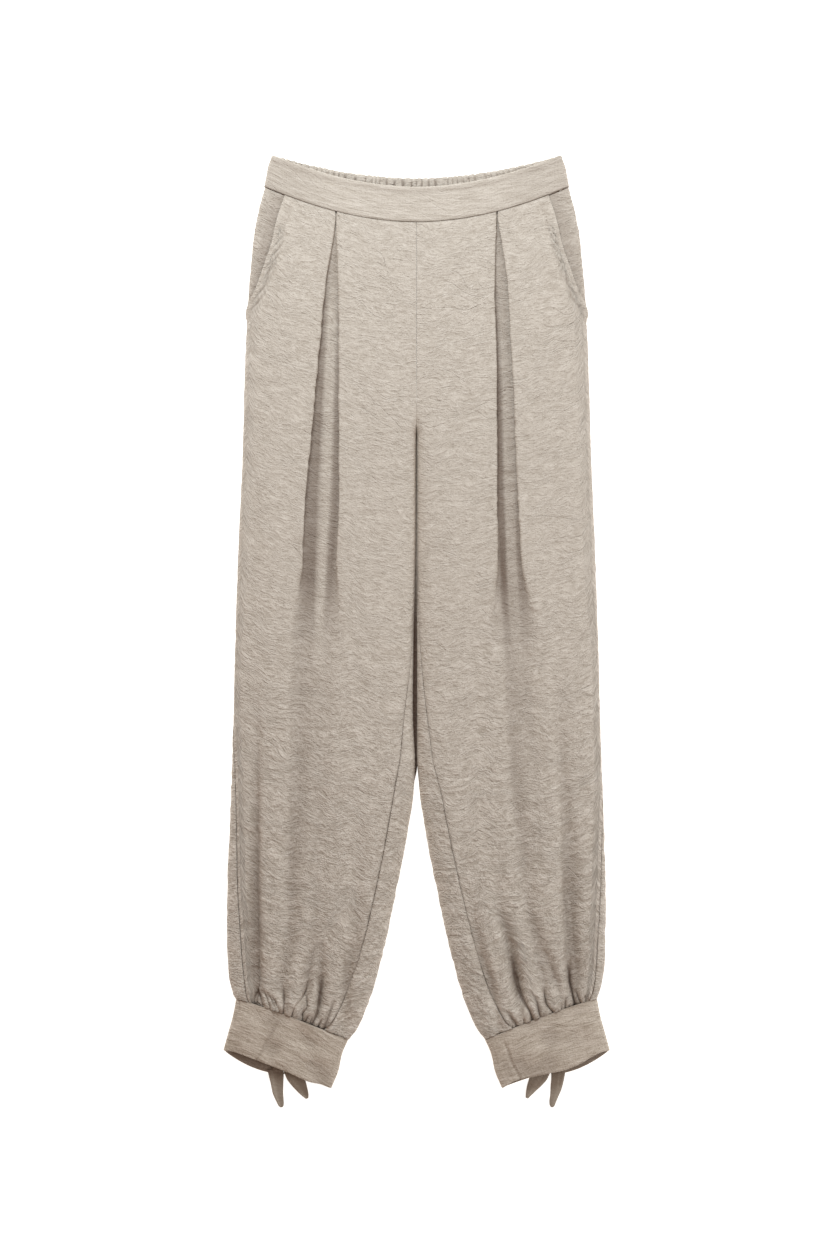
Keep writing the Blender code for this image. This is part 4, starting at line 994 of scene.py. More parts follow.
@dataclass
class LegPanels:
    """The front and back panels of one leg, with the facing of its pocket."""

    side: Side
    front_rows: int = 420
    outer_columns: int = 44
    turn_columns: int = 12
    underlay_columns: int = 9
    inner_columns: int = 38
    back_rows: int = 280
    back_columns: tuple[int, int, int] = (24, 42, 20)    # round the inner edge, under, round the side
    facing_rows: int = 900
    facing_columns: tuple[int, int] = (22, 8)            # in the open, under the mouth
    gather_reach: float = 70.0            # mm above the cuff where columns even out
    even_from: float = 850.0              # level where they start to
    back_rise: float = 11.0               # mm, the back's waist seam stands higher
    edge_column: float = 0.4              # mm, width of the last column beside a seam
    gather_depth: float = 1.8             # on the depths of the gathers' table
    recess_shade: float = 0.28            # painted shade of the pleat's recess near the waist
    turn_shades: tuple[float, float, float] = (0.52, 0.30, 0.10)  # painted shade of the outer and inner turns, and the inner one's gain
    band_blur: float = 0.16               # share of the recess over which its painted shade bands fade
    valley_share: float = 0.42            # of the leg's width that the pleat's columns end on
    low_crinkles: float = 0.7             # gain of the crinkles low on the leg
    pleat_crinkles: float = 1.2           # and in the pleat
    pucker_slant: float = 1.1
    pucker_length: float = 8.0            # mm from one to the next
    pucker_sway: float = 12.0             # mm that they wander
    pucker_width: float = 4.5             # mm, half width of their strip beside the mouth
    seam_pucker_depth: float = 0.75       # mm, of the small puckers along the cuff seam
    seam_pucker_reach: float = 7.0        # mm that they run up the leg
    seam_width: float = 1.2               # mm, half width of a rolled-in long edge
    waist_seam_width: float = 1.8
    inseam_above: float = 0.05            # of the inseam's groove that the centre seam has
    back_crinkles: float = 1.9
    tuck: float = 14.0                    # mm that the facing reaches under the mouth
    recess_sink: tuple[float, float, float] = (2.2, 80.0, 110.0)  # mm, from this level, over
    fold_shade: tuple[float, float] = (0.24, 9.0)        # painted shade in the long folds, and the depth that has it all
    # Painted shade in the gathers, in the pocket's puckers and in the seams' grooves.
    gather_shade: tuple[float, float] = (0.52, 1.9)
    pucker_shade: float = 0.36
    groove_shade: float = 0.35
    mouth_lift: tuple[float, float] = (0.95, 20.0)       # mm up and the width of that rise
    seam_depths: tuple[float, float] = (0.40, 0.60)      # mm, of the long seams and the waist's

    @property
    def word(self) -> str:
        """The side's name in the nodes."""
        return self.side.name.lower()

    def pleat_turn(self, gap: np.ndarray, overlap: np.ndarray,
                   opened: np.ndarray) -> tuple[np.ndarray, np.ndarray]:
        """One fold edge of the pleat, as way out from the edge and drop.

        Sharp: a half circle back, a straight run outward and a half circle down, so the cloth
        lies in three layers. Opened: an upright step, gap/2·(1 − 2q)³ out and 2·gap·ease(q) down.

        Args:
            gap: Spacing of the layers.
            overlap: How far the folded edge covers the layer below.
            opened: 0 for a sharp fold, 1 for a step.

        Returns:
            Way out and drop at each of the turn's columns.
        """
        arc = np.linspace(0, math.pi, self.turn_columns // 2)
        first_out = gap / 2 * (1 - np.sin(arc))
        first_drop = gap / 2 * (1 - np.cos(arc))
        second_out = overlap + gap / 2 * np.sin(arc)
        second_drop = gap + gap / 2 * (1 - np.cos(arc))
        out = np.concatenate([first_out, second_out], axis=1)
        drop = np.concatenate([first_drop, second_drop], axis=1)
        q = np.linspace(0, 1, out.shape[1])
        step_out = gap / 2 * (1 - 2 * q) ** 3
        step_drop = 2 * gap * ease(q)
        return out + opened * (step_out - out), drop + opened * (step_drop - drop)

    def recess_shades(self, form: LegForm, q: np.ndarray) -> np.ndarray:
        """Painted shade across the pleat's recess: plain at the waist, then dark beside both folds.

        Args:
            form: The leg's form.
            q: Shares of the way from the outer fold to the inner one.

        Returns:
            Shade, rows × columns.
        """
        banded = sets_in("pleat bands", form.middle)
        widened = 0.85 + 0.15 * sets_in("wide bands", form.middle)
        ground, outer_dark, outer_wide, inner_dark, inner_wide = PLEAT_BANDS[self.side]
        bands = outer_dark * ease((outer_wide * widened - q) / self.band_blur + 0.5)
        bands = bands + inner_dark * ease((inner_wide * widened - 1 + q) / self.band_blur + 0.5)
        return self.recess_shade + banded * (ground - self.recess_shade + bands)

    def pleat(self, form: LegForm) -> tuple[np.ndarray, np.ndarray, np.ndarray, np.ndarray]:
        """The inverted box pleat: outer turn, recess and inner turn, opening into a soft valley.

        Args:
            form: The leg's form.

        Returns:
            Places across, drop below the front, painted shade, and how soft the pleat is.
        """
        table = PLEAT[self.side]
        outer_fold, inner_fold, overlap, gap = (
            smooth_curve(tuple((row[0], row[k]) for row in table), form.middle) for k in (1, 2, 3, 4))
        opened = ease((form.middle - PLEAT_SHARP) / (PLEAT_STEP - PLEAT_SHARP))
        soft = ease((form.middle - PLEAT_STEP) / (PLEAT_SOFT - PLEAT_STEP))
        turn_out, turn_drop = self.pleat_turn(gap, overlap, opened)
        outer_turn = outer_fold + turn_out
        inner_turn = (inner_fold - turn_out)[:, ::-1]
        q = np.linspace(0, 1, self.underlay_columns + 1)[1:-1]
        underlay = outer_turn[:, -1:] + (inner_turn[:, :1] - outer_turn[:, -1:]) * q
        folded = np.concatenate([outer_turn, underlay, inner_turn], axis=1)
        depth, start, length = self.recess_sink
        sink = depth * ease((form.middle - start) / length) * np.sin(math.pi * q) ** 0.35
        drop = np.concatenate([turn_drop, 2 * gap + sink, turn_drop[:, ::-1]], axis=1) * (1 - soft)
        # Painted shade: the turns darker as they drop, the recess in its bands.
        outer_shade, inner_shade, gain = self.turn_shades
        inner_shade = inner_shade + gain * sets_in("pleat bands", form.middle)
        dark = turn_drop / (2 * gap)
        shades = [outer_shade * dark, self.recess_shades(form, q), inner_shade * dark[:, ::-1]]
        valley = self.valley_share * (form.outer - form.inner) * np.linspace(0.5, -0.5, folded.shape[1])
        valley = 0.5 * (outer_fold + inner_fold) + valley
        folded = folded * (1 - soft) + valley * soft
        return folded, drop, np.concatenate(shades, axis=1) * (1 - soft), soft

    def front(self) -> Cloth:
        """The front panel: outer part, inverted box pleat and inner part, then the gathers.

        Each row runs in from the pocket mouth or side seam, over the pleat, to the inseam.

        Returns:
            The panel's cloth.
        """
        form = LegForm(self.side, self.front_rows)
        mouth = pocket_depth(form.at_side)
        seam = smooth_curve(SIDE_SEAM_SHOWS[self.side], form.at_side) + 2 * SEAM
        start = np.where(mouth > 0, mouth, seam)
        stop = smooth_curve(INSEAM_SHOWS[self.side], form.at_centre) * (form.closed >= 1) + SEAM
        folded, drop, pleat_shade, soft = self.pleat(form)

        # Near the cuff all columns even out, so the gathers are equally fine.
        total = arc_at(form.outer - form.inner) + EDGE_EXTRA
        columns = self.outer_columns + folded.shape[1] + self.inner_columns
        even = start + (total - stop - start) * np.linspace(0, 1, columns)
        evened = ease((form.at_centre - self.even_from) / self.gather_reach)
        outer_stop = arc_at(form.outer - folded[:, :1])
        inner_start = arc_at(folded[:, -1:] - form.inner, form.closed)
        outer_arcs = crowd(self.outer_columns, start, outer_stop)[:, :-1]
        inner_arcs = crowd(self.inner_columns, inner_start, stop)[:, 1:]
        outer_arcs += (even[:, :self.outer_columns] - outer_arcs) * evened
        inner_arcs += (total - even[:, -self.inner_columns:] - inner_arcs) * evened
        inner_arcs[:, -2] = inner_arcs[:, -1] + self.edge_column
        outer_arcs[:, 1] = outer_arcs[:, 0] + self.edge_column
        even_out = form.outer - even[:, self.outer_columns:-self.inner_columns] + EDGE_EXTRA
        folded = folded + (even_out - folded) * evened

        side_out, side_height = form.from_side(outer_arcs)
        inner_out, inner_height = form.from_inner(inner_arcs)
        top = WALL / 2 + 2 * EDGE_RADIUS + form.swell(form.level(folded), folded)
        out = np.concatenate([side_out, folded, inner_out], axis=1)
        height = np.concatenate([side_height, top - drop, inner_height], axis=1)
        down = form.level(out)
        height = height + self.front_relief(form, out, down, mouth)
        down = down + SEAM * end_rows(self.front_rows)
        middle = form.place(out, down, height)
        relief = creases(out, down, 10 + self.side.value) * sets_in("crinkles", down)
        relief *= (1 + self.low_crinkles * sets_in("stronger crinkles", down)) * form.calm(out)
        in_pleat = slice(self.outer_columns, -self.inner_columns)
        relief[:, in_pleat] *= 1 + self.pleat_crinkles * (1 - soft)
        grooves = self.seam_grooves(form, middle)
        # Painted shade of the folds, gathers, puckers, slit and seams, and of the pleat.
        shade = self.front_shade(form, out, down, mouth) + self.groove_shade * grooves
        shade[:, in_pleat] += pleat_shade
        return Cloth(middle, self.side.value, relief - grooves, rounding=(0.0, 0.0, 0.2, 0.0), shade=shade)

    def front_shade(self, form: LegForm, out: np.ndarray, down: np.ndarray,
                    mouth: np.ndarray) -> np.ndarray:
        """Painted shade of the front: in the long folds, beside their edges, in the gathers, the puckers and
        the slit.

        Args:
            form: The leg's form.
            out: Places across.
            down: Levels of the points.
            mouth: How far in the pocket mouth lies, for each row.

        Returns:
            Shade at each point.
        """
        most, full_depth = self.fold_shade
        folds = most * ease(form.fall(down, out) / full_depth)
        folds = folds + sum(painted_fold_shade(path, reach, down, out) for path, reach in PAINTED_FOLD_SHADES[self.side])
        puckers = self.pucker_shade * np.maximum(-self.pocket_puckers(form, out, down, mouth), 0)
        gathers = sum(gather(path, depth, 0.8 * width, down, out)
                      for path, depth, width in GATHERS[self.side])
        most, full_depth = self.gather_shade
        return folds + puckers + most * ease(gathers / full_depth) + form.slit(out, down, 0.5, 0.15)

    def pocket_puckers(self, form: LegForm, out: np.ndarray, down: np.ndarray,
                       mouth: np.ndarray) -> np.ndarray:
        """Diagonal puckers sin(2π(down − slant · out + sway)/length) along the rolled mouth.

        Args:
            form: The leg's form.
            out: Places across.
            down: Levels of the points.
            mouth: How far in the pocket mouth lies, for each row.

        Returns:
            The puckers at each point, from −1 to 1.
        """
        sway = self.pucker_sway * soft_noise(down / 19, out / 24, 4)
        phase = (down - self.pucker_slant * out + sway) / self.pucker_length
        along = sets_in("pocket puckers", form.at_side) * ease(mouth / 4)
        behind = form.outer - out - mouth
        return np.sin(2 * math.pi * phase) * bell((behind - self.pucker_width) / self.pucker_width) * along

    def front_relief(self, form: LegForm, out: np.ndarray, down: np.ndarray,
                     mouth: np.ndarray) -> np.ndarray:
        """Extra height on the front: pocket roll, gathers and the fullness over the cuff.

        The roll is a bell along the mouth, with puckers on it and a trough behind it. Near
        the cuff the cloth stands up and dives into the seam.

        Args:
            form: The leg's form.
            out: Places across.
            down: Levels of the points.
            mouth: How far in the pocket mouth lies, for each row.

        Returns:
            Heights in mm.
        """
        inward = form.outer - out
        at_mouth = ease(mouth / 4) * sets_in("pocket roll", form.at_side)
        behind = inward - mouth
        rise, width = self.mouth_lift
        lift = rise * ease(mouth / 6) * bell(behind / width)
        puckers = PUCKER_DEPTH[self.side] * self.pocket_puckers(form, out, down, mouth)
        relief = at_mouth * bells(POCKET_ROLL, behind) + puckers + lift

        up = form.seam_level(out) - down
        near = ease(1 - up / self.gather_reach)
        at_inner = ease((out - form.inner) / 8)
        for path, depth, width in GATHERS[self.side]:
            relief = relief - self.gather_depth * gather(path, depth, width, down, out) * at_inner
        wave = np.sin(out / 0.83 + 2.2 * np.sin(out / 9.1))
        puckers = self.seam_pucker_depth * wave * np.exp(-np.maximum(up, 0) / self.seam_pucker_reach)
        edges = ease((form.outer - out) / 10) * ease((out - form.inner) / 10)
        return relief + near * edges * (bells(FULLNESS, up) + puckers)

    def seam_grooves(self, form: LegForm, middle: np.ndarray) -> np.ndarray:
        """Depth of the rolled-in edges at the waist seam, side seam and inseam.

        Args:
            form: The leg's form.
            middle: The panel's points.

        Returns:
            Depths in mm.
        """
        arc = run_along(middle, 1)
        least = self.inseam_above
        at_side = bell(arc / self.seam_width) * (form.at_side > POCKET_END)
        at_inner = bell((arc[:, -1:] - arc) / self.seam_width)
        at_inner = at_inner * (least + (1 - least) * sets_in("inseam groove", form.at_centre))
        below_waist = middle[:1, :, 1] - middle[..., 1]
        long_seams, waist_seam = self.seam_depths
        return long_seams * (at_side + at_inner) + waist_seam * bell(below_waist / self.waist_seam_width)

    def back(self) -> Cloth:
        """The back panel: from the inseam round the inner edge, below, and up round the side.

        Returns:
            The panel's cloth.
        """
        form = LegForm(self.side, self.back_rows, rise=self.back_rise)
        inseam = smooth_curve(INSEAM_SHOWS[self.side], form.at_centre) * (form.closed >= 1)
        inner_start = np.where(form.closed >= 1, inseam - SEAM, -1e-4)
        round_inner, under, round_side = self.back_columns
        inner_arcs = crowd(round_inner, inner_start, np.full_like(inseam, -EDGE_ARC))
        mouth = pocket_depth(form.at_side)
        shows = smooth_curve(SIDE_SEAM_SHOWS[self.side], form.at_side)
        side_stop = np.where(mouth > 0, -SEAM, shows - 2 * SEAM)
        side_arcs = crowd(round_side, np.full_like(shows, -EDGE_ARC), side_stop)
        inner_out, inner_height = form.from_inner(inner_arcs)
        side_out, side_height = form.from_side(side_arcs)
        below = crowd(under, inner_out[:, -1:], side_out[:, :1])[:, 1:-1]
        out = np.concatenate([inner_out, below, side_out], axis=1)
        height = np.concatenate([inner_height, np.full_like(below, WALL / 2), side_height], axis=1)
        down = form.level(out) + SEAM * end_rows(self.back_rows)
        middle = form.place(out, down, height)
        relief = self.back_crinkles * creases(out + 300, down, 40 + self.side.value) * form.calm(out)
        above = ease((height - 1.2) / 4.0)
        hollow = -0.5 * np.abs(relief) - self.back_folds(form, out, down)
        relief = relief * above + hollow * (1 - above)
        arc = run_along(middle, 1)
        strip = sets_in("inseam puckers", form.at_centre) * bell((out - form.inner - 14) / 12) * above
        relief += 0.5 * strip * np.sin(0.7 * (down - 0.8 * out) + 4 * soft_noise(out / 16, down / 22, 7))
        from_edges = (arc / self.seam_width, (arc[:, -1:] - arc) / self.seam_width)
        grooves = self.seam_depths[0] * (bell(from_edges[0]) + bell(from_edges[1]))
        # Painted shade in the crinkles' troughs, with the seams' grooves and the slit.
        painted_trough_shade = 0.16 * ease(-relief / 1.2) * above
        shade = self.groove_shade * grooves + form.slit(out, down, 0.6, 0.3) + painted_trough_shade
        return Cloth(middle, self.side.value, relief - grooves, shade=shade)

    def back_folds(self, form: LegForm, out: np.ndarray, down: np.ndarray) -> np.ndarray:
        """Hollows of the underside: gathers from the waist and cuff that fade up the leg.

        Each set is 1 − |sin|^0.7 across, times exp(−way from its seam / reach).

        Args:
            form: The leg's form.
            out: Places across.
            down: Levels of the points.

        Returns:
            Depths in mm.
        """
        share = (out - form.inner) / (form.outer - form.inner)
        inside = ease(share / 0.12) * ease((1 - share) / 0.12)
        depth = 0.9 * np.maximum(soft_noise(share * 5 + 3, down / 260, 71), 0)
        from_seams = (down - form.level(out)[:1], np.maximum(form.seam_level(out) - down, 0))
        for way, (count, uneven, turns, start, deep, reach) in zip(from_seams, BACK_GATHERS):
            phase = count * share + uneven * np.sin(turns * share + start)
            ridge = np.abs(np.sin(math.pi * phase)) ** 0.7
            depth = depth + deep * (1 - ridge) * np.exp(-way / reach)
        return inside * depth

    def facing(self) -> Cloth:
        """The pocket facing, from the side seam to under the rolled mouth.

        Returns:
            The facing's cloth, on the rows that have a pocket.
        """
        form = LegForm(self.side, self.facing_rows)
        keep = (pocket_depth(form.at_side) > 3).ravel()
        for name in ("at_side", "at_centre", "closed", "outer", "inner", "middle", "lean"):
            setattr(form, name, getattr(form, name)[keep])
        mouth = pocket_depth(form.at_side)
        in_open, tucked = self.facing_columns
        near = crowd(in_open, np.full_like(mouth, SEAM), mouth)
        arcs = np.concatenate([near, crowd(tucked, mouth, mouth + self.tuck)[:, 1:]], axis=1)
        out, height = form.from_side(arcs)
        down = form.level(out)
        rise, width = self.mouth_lift
        lift = rise * ease(mouth / 6) * bell((form.outer - out - mouth) / width)
        under = (lift - (WALL + 0.8)) * ease((arcs - SEAM) / (0.8 * mouth))
        middle = form.place(out, down + SEAM * np.maximum(end_rows(len(down)), 0), height)
        relief = under + 1.4 * creases(out + 90, down, 60) - 0.5 * bell(arcs / 1.5)
        relief -= 0.7 * bell((middle[:1, :, 1] - middle[..., 1]) / self.waist_seam_width)
        relief -= 0.5 * bell((arcs - mouth) / 2.5)
        # Painted shade, deeper toward the mouth and where the facing's relief lies low.
        shade = 0.04 + 0.20 * ease(arcs / mouth) - 0.05 * relief
        return Cloth(middle, self.side.value, relief, shade=shade)

    def build(self, crepe: bpy.types.Material) -> list[bpy.types.Object]:
        """Args:
            crepe: Cloth of the legs.

        Returns:
            The objects.
        """
        return [
            dress(self.front(), "front_leg_" + self.word, crepe, (0.30, 0.985)),
            dress(self.back(), "back_leg_" + self.word, crepe, (0.30, 0.990)),
            dress(self.facing(), "pocket_facing_" + self.word, crepe, (0.042, 0.150)),
        ]


def dress(cloth: Cloth, node: str, material: bpy.types.Material,
          flat: tuple[float, float]) -> bpy.types.Object:
    """Makes a piece from its cloth, gives it its finish, puts it under the root body, hides its CAD part and
    logs its size.

    Args:
        cloth: The worked out surface.
        node: CAD node that the piece stands for, also its name.
        material: Its finish.
        flat: Width and length of its cut, in metres.

    Returns:
        The object.
    """
    thing = cloth.make(node + "_cloth")
    thing.data.materials.append(material)
    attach(thing, "root")
    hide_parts(node)
    LOG.info("%s: %d faces, %.4f m2 of cloth, cut %.3f x %.3f m",
             node, len(thing.data.polygons), cloth.area(), *flat)
    return thing


@dataclass
class Waistband:
    """The flat front band and the gathered elastic band behind it."""

    height: float = 36.0
    front_dip: float = 37.0
    front_foot: float = 77.5
    back_dip: float = 26.5
    back_foot: float = 66.5
    ribs: int = 42
    rib_depth: float = 3.6                # mm that the ribs stand into the waist
    valley_shade: float = 0.52            # painted shade between two ribs
    shades: tuple[float, float, float] = (0.5, 0.10, 0.09)  # painted shade of the seam, the fold line and the ends
    # Small creases of the front band: x, down at their middle, lean, length, depth.
    creases: Points = ((-120.0, 29.0, 0.62, 14.0, 0.55), (-88.0, 38.0, 0.2, 18.0, 0.3),
                       (-44.0, 42.0, 0.5, 15.0, 0.4), (77.0, 36.0, -0.45, 10.0, 0.55),
                       (128.0, 27.0, -0.3, 14.0, 0.3), (18.0, 52.0, 0.2, 12.0, 0.2))

    def level(self, out: np.ndarray, half: np.ndarray, dip: np.ndarray, top: np.ndarray) -> np.ndarray:
        """Level along the band: top + (dip − top)(1 − (1 − share)^1.9) toward the centre.

        Args:
            out: Places across.
            half: Half width of the band, for each row.
            dip: Level of the row at the centre.
            top: Level of the row at its ends.

        Returns:
            Levels in mm down.
        """
        share = np.clip((half - np.abs(out)) / half, 0, 1)
        bend = 1 - (1 - share) ** SAG
        return top + (dip - top) * bend

    def front(self, rows: int = 26, columns: int = 150) -> Cloth:
        """The front band from side seam to side seam, with its creases and rolled seams.

        Args:
            rows: Rows down it.
            columns: Columns across one half.

        Returns:
            The band's cloth.
        """
        share = np.linspace(0, 1, rows)[:, None]
        side_level = self.height * share
        half = smooth_curve(OUTER_EDGE, side_level) - WALL / 2
        arcs = crowd(columns, np.full_like(half, SEAM), arc_at(half))
        inward, about = edge_path(arcs, np.ones_like(half))
        crown = smooth_curve(CROWN, side_level) * (1 - np.exp(-inward / CROWN_OUTER))
        out = half - inward
        height = WALL / 2 + EDGE_RADIUS + about + crown
        out = np.concatenate([out, -out[:, -2::-1]], axis=1)
        height = np.concatenate([height, height[:, -2::-1]], axis=1)
        dip = self.front_dip + (self.front_foot - self.front_dip) * share
        down = self.level(out, half, dip, side_level) - SEAM * (share == 1)
        relief = 0.35 * creases(out * 0.8, down * 1.2, 80)
        relief += 0.5 * bell((share - 0.05) / 0.08) - 0.45 * bell((share - 0.17) / 0.05)
        relief -= 0.5 * bell((1 - share) / 0.035)
        for x, at, lean, length, depth in self.creases:
            across = (out - x) + lean * (down - at)
            relief -= depth * bell(across / 1.8) * bell((down - at) / (0.5 * length))
        middle = np.stack([out, TOP - down, height], axis=2)
        # Painted shade along the seam, at the fold line and toward the band's ends.
        seam_shade, stitch_shade, end_shade = self.shades
        shade = seam_shade * bell((1 - share) / 0.035) + stitch_shade * bell((share - 0.17) / 0.05)
        shade = shade + end_shade * ease((np.abs(out) - 90) / 50)
        return Cloth(middle, 1, relief, rounding=(0.55, 0.0, 0.0, 0.0), shade=shade)

    def back(self, rows: int = 18, per_rib: int = 12) -> Cloth:
        """The back band: a casing drawn into ribs |sin|^0.4, uneven in width and depth.

        Args:
            rows: Rows down it.
            per_rib: Columns for each rib.

        Returns:
            The band's cloth.
        """
        share = np.linspace(0, 1, rows)[:, None]
        side_level = self.height * share
        half = smooth_curve(OUTER_EDGE, side_level) - WALL / 2
        turn = np.linspace(SEAM, EDGE_ARC, 8)[None, :]
        inward, height = edge_path(-turn, np.ones_like(half))
        side_out = (half - inward)[:, ::-1]
        side_height = np.broadcast_to((WALL / 2 + EDGE_RADIUS + height)[:, ::-1], side_out.shape)
        q = np.linspace(-1, 1, self.ribs * per_rib + 1)[None, 1:-1]
        flat = q * side_out[:, :1]
        out = np.concatenate([-side_out[:, ::-1], flat, side_out], axis=1)
        height = np.concatenate([side_height[:, ::-1], np.full_like(flat, WALL / 2), side_height], axis=1)
        slant = 0.30 * soft_noise(q * 9, share * 1.5, 91)
        phase = 0.5 * (q + 1) * self.ribs + 0.3 * np.sin(q * 21) + 0.12 * np.sin(q * 47 + 1) + slant
        rib = np.abs(np.sin(math.pi * phase)) ** 0.4 * (0.8 + 0.2 * soft_noise(phase, 0 * phase, 92))
        ends = ease((1 - np.abs(q)) / 0.03)
        ribbed = slice(side_out.shape[1], -side_out.shape[1])
        inside, hollow, shade = np.zeros((3, *out.shape))
        inside[:, ribbed] = self.rib_depth * rib * ends
        hollow[:, ribbed] = -0.5 * (1 - rib) * ends
        # Painted shade in the valleys between the ribs, less near the top edge.
        valley = self.valley_shade * ease((0.58 - rib) / 0.24) * ends
        shade[:, ribbed] = valley * (1 - 0.6 * bell(share / 0.08))
        dip = self.back_dip + (self.back_foot - self.back_dip) * share
        down = self.level(out, half, dip, side_level) - SEAM * (share == 1) - 0.4 * inside * (share == 0)
        middle = np.stack([out, TOP - down, height], axis=2)
        return Cloth(middle, 1, hollow, inside=WALL / 2 + inside, rounding=(0.5, 0.0, 0.0, 0.0),
                     shade=shade, inner_shade=0.0)

    def build(self, smooth: bpy.types.Material, gathered: bpy.types.Material) -> list[bpy.types.Object]:
        """Makes both bands.

        Args:
            smooth: Cloth of the front band.
            gathered: Cloth of the elastic band.

        Returns:
            The objects.
        """
        return [
            dress(self.front(), "waistband_front", smooth, (0.375, 0.040)),
            dress(self.back(), "waistband_back", gathered, (0.46, 0.040)),
        ]


# A cuff's rows: level and place of its outer end, level and place of its inner end.
CUFF = ((971, 207.7, 1017.5, 78.4), (990, 211.5, 1034, 85.5), (1010, 217.0, 1054, 90.0),
        (1030, 222.7, 1073.5, 98.0))
# The hem's own wander along the cuff from the outer end, in mm down.
HEM = {
    Side.LEFT: ((0.0, 0.0), (0.1, -3.0), (0.3, -3.2), (0.45, -2.4), (0.6, -2.0), (0.8, 0.6),
                (0.92, -0.8), (1.0, 0.0)),
    Side.RIGHT: ((0.0, 0.0), (0.09, -2.2), (0.18, -0.6), (0.27, 2.4), (0.41, 3.4), (0.57, 1.1),
                 (0.72, -1.2), (0.8, -3.2), (0.88, -4.2), (1.0, 0.0)),
}
# The cuff's one upright crease: share of the way in from the side, and its lean.
CUFF_CREASE = {Side.LEFT: (0.36, 0.10), Side.RIGHT: (0.855, 0.04)}


@dataclass
class Cuff:
    """A stiff band round the leg's end, open at a slit in the back, with its tied strips."""

    side: Side
    rows: int = 44
    crown: float = 4.5
    back_drop: float = 10.0
    slit_at: float = 0.50
    slit_top: float = 3.0
    slit_hem: float = 14.0
    turn_columns: int = 17
    below_columns: int = 18
    over_columns: int = 104
    crease_depth: float = 1.7
    drag_depth: float = 2.4

    def band(self) -> Cloth:
        """The band as one strip, from one side of the slit round the front to the other.

        Returns:
            The band's cloth.
        """
        share = np.linspace(0, 1, self.rows)[:, None]
        knots = np.linspace(0, 1, len(CUFF))
        at_side, side_out, at_inside, inside_out = (
            smooth_curve(tuple(zip(knots, [row[k] for row in CUFF])), share) for k in range(4))
        outer = side_out - WALL / 2
        inner = inside_out + WALL / 2
        width = outer - inner
        slit = inner + width * self.slit_at
        half_slit = 0.5 * (self.slit_top + (self.slit_hem - self.slit_top) * ease(share))
        turn = np.linspace(-EDGE_ARC, EDGE_ARC, self.turn_columns)[None, :]
        side_in, side_up = edge_path(turn, np.ones_like(outer))
        below_out = crowd(self.below_columns, slit + half_slit, outer - EDGE_RADIUS)[:, :-1]
        over = crowd(self.over_columns, outer - EDGE_RADIUS, inner + EDGE_RADIUS)[:, 1:-1]
        below_in = crowd(self.below_columns, inner + EDGE_RADIUS, slit - half_slit)[:, 1:]
        out = np.concatenate([below_out, outer - side_in, over, inner + side_in[:, ::-1], below_in], axis=1)
        side_up = np.broadcast_to(side_up, (self.rows, self.turn_columns))
        lift = self.crown * (1 - np.exp(-np.minimum(outer - over, over - inner) / 20))
        height = np.concatenate([np.zeros_like(below_out), EDGE_RADIUS + side_up, 2 * EDGE_RADIUS + lift,
                                 EDGE_RADIUS + side_up[:, ::-1], np.zeros_like(below_in)], axis=1) + WALL / 2
        across = np.clip((outer - out) / width, 0, 1)
        down = at_side + (at_inside - at_side) * across ** (1 + 0.2 * (1 - share))
        under = np.clip(1 - height / (2 * EDGE_RADIUS), 0, 1)
        drop = self.back_drop * share ** 2 * under * np.sin(math.pi * np.clip(across / 0.62, 0, 1)) ** 0.7
        wander = smooth_curve(HEM[self.side], across) * share ** 3 * (1 - under)
        down = down + drop + wander + SEAM * (share == 0)
        middle = np.stack([self.side.value * out, TOP - down, height], axis=2)
        relief = self.drag_folds(across, share, out, down) * (1 - under) - 0.15 * under
        relief -= 0.3 * bell(share / 0.03) * (1 - under)
        # Painted shade along the seam and in the drag folds' troughs, and on the band's inner face.
        shade = 0.25 * bell(share / 0.03) + 0.20 * ease(-relief / 1.8)
        return Cloth(middle, self.side.value, relief, rounding=(0.0, 0.5, 0.4, 0.4), shade=shade,
                     inner_shade=0.5)

    def drag_folds(self, across: np.ndarray, share: np.ndarray, out: np.ndarray,
                   down: np.ndarray) -> np.ndarray:
        """Soft folds of the band: one crease up from the hem and drags toward its inner end.

        Args:
            across: Share of the way in from the side.
            share: Share of the way from the seam to the hem.
            out: Places across in mm.
            down: Levels in mm.

        Returns:
            Heights in mm.
        """
        spot, lean = CUFF_CREASE[self.side]
        crease = -bell((across - spot + lean * (share - 0.5)) / 0.014) * ease((share - 0.1) / 0.2)
        drags = soft_noise(across * 5.0 + share * 1.4, share * 3.2 - across * 3.0, 30 + self.side.value)
        drags *= ease(across / 0.15) * ease((1 - across) / 0.1)
        return self.crease_depth * crease + self.drag_depth * drags + 0.5 * creases(out, down, 33)

    def build(self, crepe: bpy.types.Material, tie_cloth: bpy.types.Material) -> list[bpy.types.Object]:
        """Makes the band, its two tie ends and their knot.

        Args:
            crepe: Cloth of the band.
            tie_cloth: Cloth of the ties.

        Returns:
            The objects.
        """
        word = self.side.name.lower()
        made = [dress(self.band(), "cuff_" + word, crepe, (0.275, 0.060))]
        for name, table in TIES[self.side].items():
            strip = tie_strip(table, self.side)
            made.append(dress(strip, f"tie_{word}_{name}", tie_cloth, (0.015, 0.043)))
        made.append(knot(self.side, tie_cloth))
        return made


